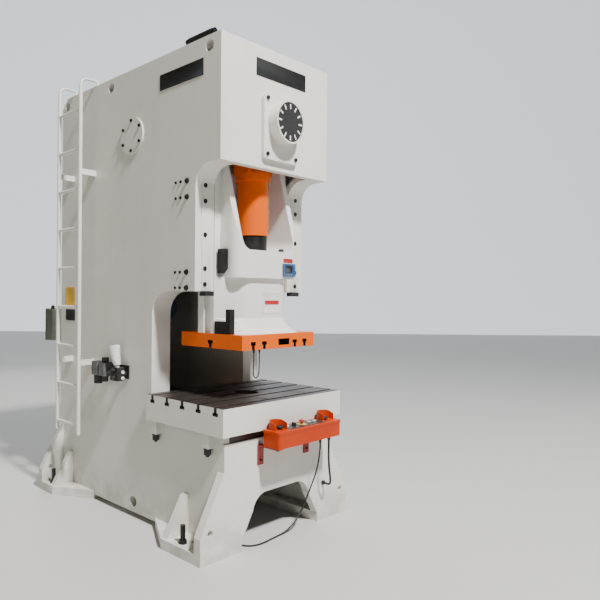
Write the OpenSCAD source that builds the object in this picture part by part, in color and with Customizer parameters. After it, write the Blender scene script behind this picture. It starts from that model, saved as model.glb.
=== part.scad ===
// Open-frame (C-frame) mechanical punch press, 160-tonne class, millimetres.
// +Z is up, the front of the press faces -Y, and the origin is the centre of the
// four anchor bolts at floor level. The slide is drawn at the bottom of its stroke.

/* [Frame] */
// Width across the two side plates
frame_w = 1020; // [960:1:1100]
// Height of the frame
frame_h = 2984; // [2900:1:3100]
// Depth of a side plate, from the head's front face to the back edge
side_depth = 1730; // [1650:1:1850]
// Thickness of a side plate
side_t = 50; // [40:1:60]
// Height of the head's front face
head_h = 734; // [700:1:780]
// Thickness of the head's front plate
head_plate_t = 50; // [40:1:60]
// Thickness of the top plate
top_t = 40; // [30:1:50]
// Flat lip under the head, before the cove
lip_d = 85; // [70:1:100]
// Radius of the cove between the head and the columns
cove_r = 120; // [90:1:140]
// Clear width between the columns
column_gap = 710; // [700:1:730]
// Thickness of a column's web plate
web_t = 30; // [20:1:40]
// Thickness of the flange plate bent round the throat
flange_t = 40; // [30:1:50]
// Depth of the throat behind the columns' guide faces
throat_d = 400; // [380:1:440]
// Height of the throat above the bolster
throat_h = 654; // [600:1:700]
// Radius of the throat's upper back corner
throat_r = 150; // [110:1:180]
// Chamfer of the side plates' top back corner
rear_chamfer = 75; // [50:1:100]
// Diameter of the lifting holes
lift_hole_d = 68; // [50:1:80]
// Diameter of the inspection opening in each side plate
inspection_d = 170; // [150:1:180]
// Thickness of a bulkhead inside the head
bulkhead_t = 60; // [50:1:70]
// Thickness of the back plate and of the back leg plate
rear_t = 50; // [40:1:60]

/* [Bed and feet] */
// Height of the bed under the bolster
bed_h = 686; // [660:1:720]
// Distance of the bed's front ahead of the head's front
bed_overhang = 49; // [40:1:60]
// Thickness of the bed's front plate
bed_plate_t = 50; // [40:1:60]
// Thickness of the bed's top plate
bed_top_t = 51; // [40:1:60]
// Width across the feet
foot_w = 1386; // [1340:1:1440]
// Thickness of a foot's base plate
base_t = 60; // [50:1:70]
// Full-width length of a front base plate
front_base_l = 332; // [310:1:360]
// Full-width length of a back base plate
rear_base_l = 200; // [190:1:230]
// Length over which a base plate tapers back to the side plate
base_taper = 275; // [200:1:300]
// Height where a leg starts to spread
leg_spread_z = 478; // [440:1:520]
// Height where a leg has reached its full width
leg_toe_z = 150; // [130:1:170]
// Height of the arch between the legs
arch_h = 305; // [280:1:330]
// Half width of the arch at its top
arch_top_half = 240; // [220:1:260]
// Half width of the arch at the floor
arch_foot_half = 362; // [340:1:380]
// Radius of the arch's upper corners
arch_r = 120; // [90:1:130]
// Height of a foot gusset above the floor
gusset_h = 290; // [250:1:320]
// Thickness of a foot gusset
gusset_t = 40; // [30:1:50]
// Distance between the anchor bolts, left to right
anchor_pitch_x = 1160; // [1130:1:1170]
// Distance between the anchor bolts, front to back
anchor_pitch_y = 1510; // [1500:1:1530]
// Distance of the front anchor bolts behind the head's front
anchor_setback = 120; // [110:1:130]
// Diameter of an anchor hole
anchor_hole_d = 36; // [33:1:40]
// Diameter of a levelling bolt
level_bolt_d = 30; // [24:1:32]
// Height of a levelling bolt's tip above the floor
level_tip_z = 165; // [150:1:190]
// Offset of a levelling bolt from its anchor hole, outwards and inwards
level_offset = [60, 30];
// Diameter of the sight hole in each leg
leg_hole_d = 40; // [30:1:50]

/* [Bolster] */
// Width of the bolster
bolster_w = 1120; // [1080:1:1160]
// Depth of the bolster
bolster_d = 682; // [660:1:690]
// Thickness of the bolster
bolster_t = 160; // [150:1:180]
// Distance of the bolster's front ahead of the bed
bolster_lip = 37; // [30:1:45]
// Number of T-slots in the bolster
bolster_slots = 5; // [3:1:5]
// Distance between the bolster's T-slots
bolster_slot_pitch = 139; // [120:1:145]
// Width of a T-slot's neck
slot_neck_w = 24; // [20:1:28]
// Width of a T-slot's head
slot_head_w = 44; // [40:1:48]
// Depth of a T-slot's neck
slot_neck_h = 28; // [24:1:30]
// Depth of a T-slot's head
slot_head_h = 20; // [16:1:24]
// Diameter of the knock-out hole through the bolster
bolster_hole_d = 160; // [120:1:180]

/* [Crank train] */
// Stroke of the slide
stroke = 160; // [120:1:160]
// Distance of the crankshaft's axis below the frame's top
crank_drop = 448; // [440:1:464]
// Distance of the rod's centre behind the head's front
rod_setback = 208; // [206:1:210]
// Diameter of the crankshaft's journals
journal_d = 160; // [150:1:170]
// Diameter of the crank pin
crank_pin_d = 150; // [140:1:156]
// Width of the crank pin between its webs
crank_pin_l = 130; // [124:1:134]
// Thickness of a crank web
crank_web_t = 38; // [30:1:40]
// Radial running clearance of journals and guides
running = 0.06; // [0.04:0.01:0.08]
// Radial wall of a bearing bush
bush_t = 15; // [12:1:18]
// Module of the main gear and its pinion
gear_module = 10; // [8:1:10]
// Teeth of the main gear
gear_teeth = 76; // [70:1:76]
// Teeth of the pinion
pinion_teeth = 16; // [15:1:18]
// Face width of the main gear
gear_w = 120; // [100:1:130]
// Distance of the main gear's front face behind the head's front
gear_y = 1400; // [1350:1:1420]
// Distance of the pinion shaft to the right of the crankshaft
pinion_x = 110; // [90:1:120]
// Diameter of the pinion shaft
pinion_shaft_d = 90; // [80:1:96]

/* [Flywheel and motor] */
// Diameter of the flywheel
flywheel_d = 780; // [720:1:800]
// Width of the flywheel
flywheel_w = 150; // [130:1:160]
// Distance of the flywheel behind the back plate
flywheel_gap = 55; // [45:1:65]
// Diameter of the motor pulley
motor_pulley_d = 190; // [170:1:200]
// Distance of the motor's axis below the flywheel's
motor_drop = 700; // [680:1:730]
// Diameter of the motor's frame
motor_d = 300; // [280:1:310]
// Length of the motor's frame
motor_l = 380; // [340:1:400]
// Diameter of the motor's shaft
motor_shaft_d = 48; // [42:1:50]
// Clearance between the belt guard and what turns in it
guard_gap = 30; // [20:1:40]
// Depth of the belt guard
guard_d = 270; // [260:1:290]
// Thickness of the belt guard's sheet
sheet_t = 4; // [3:0.5:6]

/* [Slide] */
// Width of the slide between the guides
slide_w = 680; // [670:1:686]
// Height of the slide's lower face above the bolster at the bottom of the stroke
shut_height = 307; // [290:1:350]
// Travel of the die height adjustment
height_travel = 100; // [60:1:110]
// Width of the slide's face plate
face_w = 690; // [670:1:700]
// Depth of the slide's face plate
face_d = 528; // [510:1:540]
// Thickness of the slide's face plate
face_t = 89; // [84:1:95]
// Distance of the face plate's front ahead of the head's front
face_lead = 25; // [15:1:35]
// Height of the slide's neck above the face plate
neck_h = 344; // [320:1:360]
// Height of the wall under the slide's window
sill_h = 172; // [150:1:190]
// Distance of the slide casting's top below the crankshaft's axis
casting_drop = 204; // [200:1:240]
// Width of the slide's box round the connecting rod
box_w = 580; // [560:1:600]
// Thickness of the box's walls
box_wall = 45; // [35:1:50]
// Distance of the box's front behind the head's front
box_setback = 68; // [60:1:76]
// Diameter of the connecting rod
rod_d = 198; // [190:1:200]
// Diameter of the adjusting screw
screw_d = 130; // [120:1:140]
// Diameter of the adjusting screw's collar
collar_d = 184; // [170:1:188]
// Height of the adjusting screw's collar
collar_h = 96; // [90:1:98]
// Diameter of the ball at the adjusting screw's end
ball_d = 170; // [160:1:175]

/* [Guides] */
// Width of a keeper plate
keeper_w = 82; // [76:1:82]
// Height of a keeper plate's end above the cove's lower edge
keeper_over = 46; // [20:1:50]
// Thickness of a keeper plate
keeper_t = 30; // [25:1:35]
// Gap between the column's inner face and a keeper plate
keeper_inset = 23; // [20:1:23]
// Depth of a guide rail's tongue in the slide
tongue_d = 25; // [20:1:28]
// Width of a guide rail's tongue
tongue_w = 60; // [50:1:66]

/* [Control box] */
// Width of the two-hand control box
control_w = 615; // [600:1:640]
// Depth of the control box
control_d = 128; // [120:1:140]
// Height of the control box
control_h = 98; // [90:1:110]
// Height of the control box's underside
control_z = 596; // [585:1:600]
// Distance of the control box's centre to the right of the press's centre
control_x = 68; // [50:1:80]
// Diameter of a palm button
palm_d = 46; // [40:1:50]
// Travel of a palm button
palm_travel = 6; // [4:1:8]
// Height of a palm guard above the box
palm_guard_h = 52; // [45:1:60]

/* [Ladder] */
// Distance between the ladder's rails
ladder_w = 287; // [270:1:300]
// Diameter of a rail
rail_d = 29; // [26:1:32]
// Diameter of a rung
rung_d = 22; // [18:1:24]
// Distance of the ladder behind the head's front
ladder_setback = 1266; // [1200:1:1300]
// Height of the lowest rung above the rails' ends
rung_start = 63; // [40:1:90]
// Distance of the top rung below the rails' bends
rung_end = 170; // [140:1:200]
// Number of rungs
rungs = 9; // [7:1:9]
// Distance of the rails' centres from the side plate
ladder_standoff = 130; // [110:1:150]

/* [Hidden] */
$fn = 48;
// Clearance between flat faces of bodies that move past each other
gap = 0.4;
// Seat clearance between separate pieces
seat = 0.3;
far = 4000;

// Places worked out from the driving dimensions; y runs backwards from the head.
y_head = -(anchor_pitch_y / 2 + anchor_setback);
column_setback = lip_d + cove_r;
y_column = y_head + column_setback;
y_throat = y_column + throat_d;
y_rear = y_head + side_depth;
y_bed = y_head - bed_overhang;
y_bolster = y_bed - bolster_lip;
y_bolster_back = y_bolster + bolster_d;
y_rod = y_head + rod_setback;
table_z = bed_h + bolster_t;
soffit_z = table_z + throat_h;
head_z = frame_h - head_h;
bed_front_h = bed_h - bed_top_t;
bed_lip = 12;
cove_steps = 8;
cove_z = head_z - cove_r;
inner_w = frame_w - 2 * side_t;
side_x = frame_w / 2 - side_t;
band_w = side_x - column_gap / 2;
web_x = column_gap / 2;
side_bottom = 35;
leg_top = leg_spread_z + 40;
boss_d = journal_d + 2 * bush_t + 30;

// Crank train
crank_z = frame_h - crank_drop;
throw = stroke / 2;
pin_z = crank_z - throw;
gear_r = gear_module * gear_teeth / 2;
pinion_r = gear_module * pinion_teeth / 2;
gear_centres = gear_r + pinion_r;
pinion_z = crank_z - sqrt(gear_centres * gear_centres - pinion_x * pinion_x);
motor_z = pinion_z - motor_drop;
front_bearing_l = rod_setback - crank_pin_l / 2 - crank_web_t - 3;
y_pin_front = y_rod - crank_pin_l / 2;
y_pin_back = y_rod + crank_pin_l / 2;
y_bulkhead_b = y_head + gear_y - 240;
y_gear = y_head + gear_y;
y_flywheel = y_rear + flywheel_gap;
shaft_end_y = y_flywheel + flywheel_w + 20;
eye_wall = 42;
eye_w = crank_pin_d + 2 * throw + 2 * eye_wall + 16;
eye_h = crank_pin_d + 2 * eye_wall + 52;
eye_l = crank_pin_l - 4;

// Slide
face_z = table_z + shut_height;
casting_z = face_z + face_t;
sill_z = casting_z + neck_h;
window_z = sill_z + sill_h;
y_box = y_head + box_setback;
y_slide_back = y_column + 150;
y_bulkhead_a = y_slide_back + 15;
casting_top = crank_z - casting_drop;
casting_h = casting_top - casting_z;
y_face = y_head - face_lead;
collar_top = window_z + 4 + collar_h;
rod_bottom = collar_top + seat;
groove_y = y_column + 40;
rail_z = soffit_z + 1;
keeper_h = cove_z + keeper_over - rail_z;
rod_tube_top = crank_z - journal_d / 2 - 12 - stroke - 6;
rod_brim_top = crank_z - boss_d / 2 - stroke - 8;
rod_brim_d = rod_d + 28;
screw_top = rod_tube_top - 120;

function flip(points) = [for (p = points) [-p[0], p[1]]];
function arc(cx, cy, r, from, to, steps) =
    [for (i = [0:steps]) let (a = from + (to - from) * i / steps) [cx + r * cos(a), cy + r * sin(a)]];

module both() {
    children();
    mirror([1, 0, 0]) children();
}

// Extrudes a profile drawn in (y, z) along x, from x0 over a length.
module along_x(x0, length) {
    translate([x0, 0, 0]) rotate([90, 0, 90]) linear_extrude(length) children();
}

// Extrudes a profile drawn in (x, z) along y, from y0 over a length.
module along_y(y0, length) {
    translate([0, y0 + length, 0]) rotate([90, 0, 0]) linear_extrude(length) children();
}

module rod_x(x, y, z, d, l) {
    translate([x, y, z]) rotate([0, 90, 0]) cylinder(d = d, h = l);
}

module rod_y(x, y, z, d, l) {
    translate([x, y, z]) rotate([-90, 0, 0]) cylinder(d = d, h = l);
}

module rod_z(x, y, z, d, l) {
    translate([x, y, z]) cylinder(d = d, h = l);
}

module hex_x(x, y, z, across, l) {
    translate([x, y, z]) rotate([0, 90, 0]) cylinder(d = across / cos(30), h = l, $fn = 6);
}

module hex_y(x, y, z, across, l) {
    translate([x, y, z]) rotate([-90, 0, 0]) cylinder(d = across / cos(30), h = l, $fn = 6);
}

module hex_z(x, y, z, across, l) {
    translate([x, y, z]) cylinder(d = across / cos(30), h = l, $fn = 6);
}

module round_rect(w, h, r) {
    hull() for (x = [r - w / 2, w / 2 - r], y = [r - h / 2, h / 2 - r]) translate([x, y]) circle(r);
}

// Outline of a T-slot, mouth at y = 0 and head below it.
module slot_outline() {
    translate([-slot_neck_w / 2, -slot_neck_h - 1]) square([slot_neck_w, slot_neck_h + 2]);
    translate([-slot_head_w / 2, -slot_neck_h - slot_head_h]) square([slot_head_w, slot_head_h]);
}

// ---- Frame ----

// The C that the side plates share, in (y, z).
module c_outline() {
    r = throat_r;
    polygon(concat(
        [[y_head, frame_h], [y_head, head_z], [y_head + lip_d, head_z]],
        arc(y_head + lip_d, head_z - cove_r, cove_r, 90, 0, cove_steps),
        [[y_column, soffit_z]],
        arc(y_throat - r, soffit_z - r, r, 90, 0, 8),
        [[y_throat, bed_h], [y_bed + bed_lip, bed_h], [y_bed + bed_lip, bed_front_h],
            [y_bed + bed_plate_t, bed_front_h], [y_bed + bed_plate_t, side_bottom]],
        [[y_rear - rear_t, side_bottom], [y_rear - rear_t, leg_top], [y_rear, leg_top]],
        [[y_rear, frame_h - rear_chamfer], [y_rear - rear_chamfer, frame_h]]));
}

lift_y = [95, 1078, 1656];
lift_z = frame_h - 62;
inspection_y = y_head + 826;
inspection_z = frame_h - 446;
inspection_pcd = inspection_d + 32;
gib_screw_z = [soffit_z + 20, soffit_z + 115, cove_z - 63, cove_z + 34];
gib_screw_y = [75, 132, 176];
gib_screw_d = [36, 24, 24];

module side_plate() {
    color("gainsboro") difference() {
        along_x(side_x, side_t) c_outline();
        for (y = lift_y) rod_x(side_x - 5, y_head + y, lift_z, lift_hole_d, side_t + 10);
        rod_x(side_x - 5, y_head + 790, 104, 73, side_t + 10);
        rod_x(side_x - 5, inspection_y, inspection_z, inspection_d, side_t + 10);
        for (z = gib_screw_z) rod_x(side_x - 5, y_column + gib_screw_y[0], z, gib_screw_d[0] + 2 * seat, side_t + 10);
    }
}

module side_plate_left() mirror([1, 0, 0]) side_plate();

module side_plate_right() side_plate();

// Head front plate, closed under by a lip plate between the columns' coves.
module head_front_plate() {
    color("whitesmoke") difference() {
        union() {
            along_y(y_head, head_plate_t)
                translate([-side_x, head_z]) square([2 * side_x, head_h]);
            rod_y(0, y_head + head_plate_t - 1, crank_z, boss_d,
                front_bearing_l - head_plate_t + 1);
        }
        rod_y(0, y_head - 5, crank_z, journal_d + 2 * bush_t, front_bearing_l + 10);
    }
}

// Top plate, folded down over the back chamfer.
module top_plate() {
    y0 = y_head + head_plate_t;
    y1 = y_rear;
    color("gainsboro") difference() {
        along_x(-side_x, 2 * side_x) polygon([[y0, frame_h - top_t], [y0, frame_h],
            [y1 - rear_chamfer, frame_h], [y1, frame_h - rear_chamfer],
            [y1, frame_h - rear_chamfer - top_t * 1.4], [y1 - rear_chamfer - top_t * 0.4, frame_h - top_t]]);
        rod_z(0, y_head + 900, frame_h - top_t - 5, 90, top_t + 10);
    }
}

// Flange bent round one side of the throat: lip, cove, guide face, soffit, back.
module throat_flange() {
    r = throat_r;
    t = flange_t;
    outer = concat(
        [[y_head + head_plate_t, head_z], [y_head + lip_d, head_z]],
        arc(y_head + lip_d, head_z - cove_r, cove_r, 90, 0, cove_steps),
        [[y_column, soffit_z]],
        arc(y_throat - r, soffit_z - r, r, 90, 0, 8),
        [[y_throat, bed_h]]);
    inner = concat(
        [[y_throat + t, bed_h]],
        arc(y_throat - r, soffit_z - r, r + t, 0, 90, 8),
        [[y_column + t, soffit_z + t]],
        arc(y_head + lip_d, head_z - cove_r, cove_r + t, 0, 90, cove_steps),
        [[y_head + head_plate_t, head_z + t]]);
    color("whitesmoke") along_x(web_x, band_w) polygon(concat(outer, inner));
}

module throat_flange_left() mirror([1, 0, 0]) throat_flange();

module throat_flange_right() throat_flange();

// Web behind a column: carries the guide rail and ties the throat to the back.
module column_web() {
    r = throat_r;
    t = flange_t;
    back = y_bulkhead_b;
    color("silver") along_x(web_x, web_t) polygon(concat(
        [[y_column + t, head_z - cove_r], [y_column + t, soffit_z + t], [y_throat - r, soffit_z + t]],
        arc(y_throat - r, soffit_z - r, r + t, 90, 0, 8),
        [[y_throat + t, bed_h], [back, bed_h], [back, head_z - cove_r]]));
}

module column_web_left() mirror([1, 0, 0]) column_web();

module column_web_right() column_web();

// Bulkheads inside the head that carry the crankshaft and the pinion shaft.
module bulkhead(y, bottom) {
    along_y(y, bulkhead_t) translate([-side_x, bottom]) square([2 * side_x, frame_h - top_t - bottom]);
}

module crank_bulkheads() {
    bore = journal_d + 2 * bush_t;
    color("silver") difference() {
        union() {
            bulkhead(y_bulkhead_a, head_z - cove_r);
            bulkhead(y_bulkhead_b, pinion_z - pinion_shaft_d - 100);
        }
        rod_y(0, y_bulkhead_a - 5, crank_z, bore, bulkhead_t + 10);
        rod_y(0, y_bulkhead_b - 5, crank_z, bore, bulkhead_t + 10);
        rod_y(pinion_x, y_bulkhead_b - 5, pinion_z, pinion_shaft_d + 2 * bush_t, bulkhead_t + 10);
    }
}

module bed_top_plate() {
    color("dimgray") difference() {
        translate([-side_x, y_bed + bed_lip, bed_front_h])
            cube([2 * side_x, y_rear - rear_t - y_bed - bed_lip, bed_top_t]);
        rod_z(0, bolster_mid_y, bed_front_h - 5, bolster_hole_d + 60, bed_top_t + 10);
    }
}

bolster_mid_y = y_bolster + bolster_d / 2;

// Outline of a leg plate in (x, z): spread feet round an arch.
module leg_outline(top) {
    s = frame_w / 2;
    f = foot_w / 2;
    r = arch_r;
    right = concat(
        [[s, top], [s, leg_spread_z], [f, leg_toe_z], [f, base_t], [arch_foot_half, base_t]],
        arc(arch_top_half - r + 30, arch_h - r, r, 12, 90, 8));
    left = [for (i = [len(right) - 1:-1:0]) [-right[i][0], right[i][1]]];
    polygon(concat(right, left));
}

module leg_plate(y, t, top) {
    color("whitesmoke") difference() {
        along_y(y, t) leg_outline(top);
        for (x = [-1, 1]) rod_y(x * (foot_w / 2 - 75), y - 5, leg_toe_z + 15, leg_hole_d, t + 10);
    }
}

module bed_front_plate() leg_plate(y_bed, bed_plate_t, bed_front_h);

// Back plate of the frame down to its legs, with the shafts' bearings.
module rear_plate() {
    y = y_rear - rear_t;
    top = frame_h - rear_chamfer - top_t * 1.4;
    color("whitesmoke") difference() {
        union() {
            leg_plate(y, rear_t, leg_top);
            along_y(y, rear_t) translate([-side_x, leg_top - 1]) square([2 * side_x, top - leg_top + 1]);
        }
        rod_y(0, y - 5, crank_z, journal_d + 2 * bush_t, rear_t - 15);
        rod_y(pinion_x, y - 5, pinion_z, pinion_shaft_d + 2 * bush_t, rear_t + 10);
        rod_y(pinion_x, y - 5, motor_z, motor_shaft_d + 60, rear_t + 10);
    }
}

// Base plates and gussets of the four feet.
module foot(y_end, full_l, dir) {
    x0 = arch_foot_half;
    x1 = frame_w / 2;
    x2 = foot_w / 2;
    y1 = y_end + dir * full_l;
    y2 = y1 + dir * base_taper;
    linear_extrude(base_t)
        polygon([[x0, y_end], [x2, y_end], [x2, y1], [x1, y2], [x0, y2]]);
    g = y1 - (dir > 0 ? gusset_t : 0);
    along_y(g, gusset_t) polygon([[x1, base_t], [x2 - 12, base_t], [x1 + 28, gusset_h], [x1, gusset_h]]);
}

module feet() {
    color("whitesmoke") difference() {
        both() {
            foot(y_bed, front_base_l, 1);
            foot(y_rear, rear_base_l, -1);
        }
        for (x = [-1, 1], y = [-1, 1])
            rod_z(x * anchor_pitch_x / 2, y * anchor_pitch_y / 2, -5, anchor_hole_d, base_t + 10);
        for (x = [-1, 1], y = [-1, 1]) rod_z(x * (anchor_pitch_x / 2 + level_offset[0]),
            y * (anchor_pitch_y / 2 - level_offset[1]), -5, level_bolt_d + 2 * seat, base_t + 10);
        for (x = [-1, 1]) translate([x * (side_x + side_t / 2) - side_t / 2, y_bed + bed_plate_t, side_bottom])
            cube([side_t, side_depth + bed_overhang - bed_plate_t - rear_t, far]);
    }
}

// Levelling bolts through the base plates, each with its lock nut.
module levelling_bolts() {
    color("black") for (x = [-1, 1], y = [-1, 1]) {
        px = x * (anchor_pitch_x / 2 + level_offset[0]);
        py = y * (anchor_pitch_y / 2 - level_offset[1]);
        rod_z(px, py, 0, level_bolt_d, level_tip_z);
        hex_z(px, py, base_t, level_bolt_d * 1.5, level_bolt_d * 0.7);
    }
}

// ---- Bolster ----

module bolster() {
    half = (bolster_slots - 1) / 2;
    color("dimgray") difference() {
        translate([-bolster_w / 2, y_bolster, bed_h]) cube([bolster_w, bolster_d, bolster_t]);
        for (i = [-half:half])
            translate([0, bolster_mid_y + i * bolster_slot_pitch, table_z])
                rotate([90, 0, 90]) translate([0, 0, -far / 2]) linear_extrude(far) slot_outline();
        rod_z(0, bolster_mid_y, bed_h - 5, bolster_hole_d, bolster_t + 10);
    }
}

clamp_pitch = 465;
clamp_y = [y_head + 35, y_head + 35 + clamp_pitch];
clamp_w = 54;
clamp_l = 44;
clamp_h = 83;

module bolster_clamps() {
    x = frame_w / 2;
    color("gainsboro") both() for (y = clamp_y) difference() {
        along_y(y, clamp_w) polygon([[x, bed_h - clamp_h], [x + clamp_l, bed_h - clamp_h], [x + clamp_l, bed_h], [x, bed_h]]);
        rod_z(x + 24, y + clamp_w / 2, bed_h - clamp_h - 5, 26, clamp_h + 10);
    }
}

// Bolts of the bolster's clamps and of the control box's brackets.
module clamp_bolts() {
    x = frame_w / 2 + 24;
    color("black") both() for (y = clamp_y) {
        rod_z(x, y + clamp_w / 2, bed_h - clamp_h - 1, 24, clamp_h + 1);
        rod_z(x, y + clamp_w / 2, bed_h - clamp_h - 38, 36, 38);
    }
    color("black") for (i = [0, 1]) {
        hex_y(bracket_x[i], y_bed - bracket_t - 7, control_z - 92, 13, 7 - seat);
        hex_z(bracket_x[i], control_y + bracket_reach[i] + 22, control_z - bracket_t - 8, 17, 8 - seat);
    }
}

// ---- Guides ----

keeper_x = web_x + keeper_inset;
keeper_bolt_z = [for (p = [0.06, 0.2, 0.5, 0.8, 0.94]) rail_z + p * keeper_h];

module keeper_plates() {
    color("whitesmoke") both() difference() {
        translate([keeper_x, y_column - keeper_t, rail_z]) cube([keeper_w, keeper_t, keeper_h]);
        along_x(keeper_x - 5, keeper_w + 10) translate([y_head + lip_d, cove_z]) difference() {
            square([cove_r + 5, cove_r]);
            circle(cove_r * cos(45 / cove_steps) - seat);
        }
        for (z = keeper_bolt_z) rod_y(keeper_x + keeper_w / 2, y_column - keeper_t - 5, z, 30, 25);
        for (z = keeper_bolt_z) rod_y(keeper_x + keeper_w / 2, y_column - keeper_t - 5, z, 20, keeper_t + 10);
    }
}

module keeper_bolts() {
    color("black") both() for (z = keeper_bolt_z) difference() {
        union() {
            rod_y(keeper_x + keeper_w / 2, y_column - keeper_t + 2, z, 29.4, 18);
            rod_y(keeper_x + keeper_w / 2, y_column - keeper_t + 19, z, 19.4, keeper_t - 22);
        }
        hex_y(keeper_x + keeper_w / 2, y_column - keeper_t, z, 14, 12);
    }
}

// Bronze guide rails on the columns, with a tongue in the slide's side grooves.
module guide_rails() {
    flat = web_x - slide_w / 2 - running;
    rail_h = keeper_h;
    color("goldenrod") both() translate([0, 0, rail_z]) linear_extrude(rail_h) polygon([
        [web_x, groove_y - 20], [web_x, groove_y + tongue_w + 20],
        [web_x - flat, groove_y + tongue_w + 20], [web_x - flat, groove_y + tongue_w],
        [web_x - flat - tongue_d, groove_y + tongue_w], [web_x - flat - tongue_d, groove_y],
        [web_x - flat, groove_y], [web_x - flat, groove_y - 20]]);
}

// Screws through the side plates that set the guides.
module gib_screws() {
    x = frame_w / 2;
    color("black") both() for (z = gib_screw_z) {
        hex_x(x, y_column + gib_screw_y[0], z, gib_screw_d[0], 20);
        rod_x(web_x + band_w, y_column + gib_screw_y[0], z, gib_screw_d[0], x - web_x - band_w + 1);
        for (i = [1, 2]) hex_x(x, y_column + gib_screw_y[i], z, gib_screw_d[i], 14);
    }
}

// ---- Crank train ----

// Corner points of an involute gear's outline, drawn round the origin.
function inv_angle(base, r) = let (t = acos(base / r)) tan(t) * 180 / PI - t;
function gear_points(teeth, m, thin) =
    let (r = m * teeth / 2, base = r * cos(20), tip = r + m * 0.95, root = r - m * 1.2,
        low = max(base, root) + 1, half = 90 / teeth - thin + inv_angle(base, r))
    concat(
        [[root, -half + inv_angle(base, low) - 0.1]],
        [for (q = [0:2]) let (rr = low + (tip - low) * q / 2) [rr, -half + inv_angle(base, rr)]],
        [for (q = [2:-1:0]) let (rr = low + (tip - low) * q / 2) [rr, half - inv_angle(base, rr)]],
        [[root, half - inv_angle(base, low) + 0.1]]);
function gear_xy(teeth, m, thin, turn) =
    let (tooth = gear_points(teeth, m, thin))
    [for (k = [0:teeth - 1], p = tooth) let (a = turn + 360 * k / teeth + p[1]) [p[0] * cos(a), p[0] * sin(a)]];

mesh_angle = atan2(pinion_z - crank_z, pinion_x);
backlash = 0.12;

// Main gear with its web and lightening holes, keyed on the crankshaft.
module main_gear() {
    color("slategray") difference() {
        translate([0, 0, crank_z]) along_y(y_gear, gear_w)
            polygon(gear_xy(gear_teeth, gear_module, backlash, mesh_angle));
        rod_y(0, y_gear - 5, crank_z, journal_d + 2 * seat, gear_w + 10);
        for (a = [0:60:300])
            rod_y(gear_r * 0.6 * cos(a), y_gear - 5, crank_z + gear_r * 0.6 * sin(a), gear_r * 0.34, gear_w + 10);
    }
}

// Crankshaft: front journal, two webs, crank pin, and the long journal to the back.
module crankshaft() {
    y_nose = y_head - dial_plate_t - dial_drum_l + 14;
    color("lightslategray") {
        rod_y(0, y_head + 2, crank_z, journal_d, front_bearing_l + 2);
        rod_y(0, y_nose, crank_z, 40, y_head + 3 - y_nose);
        for (y = [y_pin_front - crank_web_t, y_pin_back])
            along_y(y, crank_web_t) hull() {
                translate([0, crank_z]) circle(journal_d / 2 + 12);
                translate([0, pin_z]) circle(crank_pin_d / 2 + 12);
            }
        rod_y(0, y_pin_front - 1, pin_z, crank_pin_d, crank_pin_l + 2);
        rod_y(0, y_pin_back + crank_web_t - 1, crank_z, journal_d, y_rear - 22 - y_pin_back - crank_web_t);
    }
}

module bush_ring(x, y, z, d, l) {
    difference() {
        rod_y(x, y, z, d + 2 * bush_t, l);
        rod_y(x, y - 5, z, d + 2 * running, l + 10);
    }
}

// Bronze bushes of the crankshaft and the pinion shaft.
module bearing_bushes() {
    color("goldenrod") {
        bush_ring(0, y_head + 4, crank_z, journal_d, front_bearing_l - 6);
        for (y = [y_bulkhead_a, y_bulkhead_b]) bush_ring(0, y, crank_z, journal_d, bulkhead_t);
        bush_ring(0, y_rear - rear_t, crank_z, journal_d, rear_t - 22);
        bush_ring(pinion_x, y_bulkhead_b, pinion_z, pinion_shaft_d, bulkhead_t);
        bush_ring(pinion_x, y_rear - rear_t, pinion_z, pinion_shaft_d, rear_t);
    }
}

module pinion_shaft() {
    turn = mesh_angle + 180 + 180 / pinion_teeth;
    color("lightslategray") {
        rod_y(pinion_x, y_bulkhead_b - 20, pinion_z, pinion_shaft_d, shaft_end_y - y_bulkhead_b + 20);
        translate([pinion_x, 0, pinion_z]) along_y(y_gear - 5, gear_w + 10)
            polygon(gear_xy(pinion_teeth, gear_module, backlash * gear_teeth / pinion_teeth, turn));
    }
}

// Flywheel with a recessed web, lightening holes and belt grooves.
belt_pitch = 25;
belts = 4;

module groove(d, depth) {
    rotate_extrude() translate([d / 2, 0]) polygon([[1, -8], [1, 8], [-depth, 5], [-depth, -5]]);
}

module pulley_grooves(x, y0, z, d, w) {
    start = y0 + (w - belt_pitch * (belts - 1)) / 2;
    for (i = [0:belts - 1]) translate([x, start + i * belt_pitch, z]) rotate([-90, 0, 0]) groove(d, 12);
}

module flywheel() {
    color("dimgray") difference() {
        rod_y(pinion_x, y_flywheel, pinion_z, flywheel_d, flywheel_w);
        for (y = [y_flywheel - 1, y_flywheel + flywheel_w - 44]) difference() {
            rod_y(pinion_x, y, pinion_z, flywheel_d - 130, 45);
            rod_y(pinion_x, y - 1, pinion_z, pinion_shaft_d + 130, 47);
        }
        rod_y(pinion_x, y_flywheel - 5, pinion_z, pinion_shaft_d + 2 * running, flywheel_w + 10);
        for (a = [0:60:300]) rod_y(pinion_x + flywheel_d * 0.27 * cos(a), y_flywheel - 5,
            pinion_z + flywheel_d * 0.27 * sin(a), 90, flywheel_w + 10);
        pulley_grooves(pinion_x, y_flywheel, pinion_z, flywheel_d, flywheel_w);
    }
}

module motor_pulley() {
    color("dimgray") difference() {
        rod_y(pinion_x, y_flywheel, motor_z, motor_pulley_d, flywheel_w);
        pulley_grooves(pinion_x, y_flywheel, motor_z, motor_pulley_d, flywheel_w);
    }
    color("dimgray") rod_y(pinion_x, y_rear - rear_t - 60, motor_z, motor_shaft_d - 10, rear_t + 61 + flywheel_gap);
}

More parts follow.
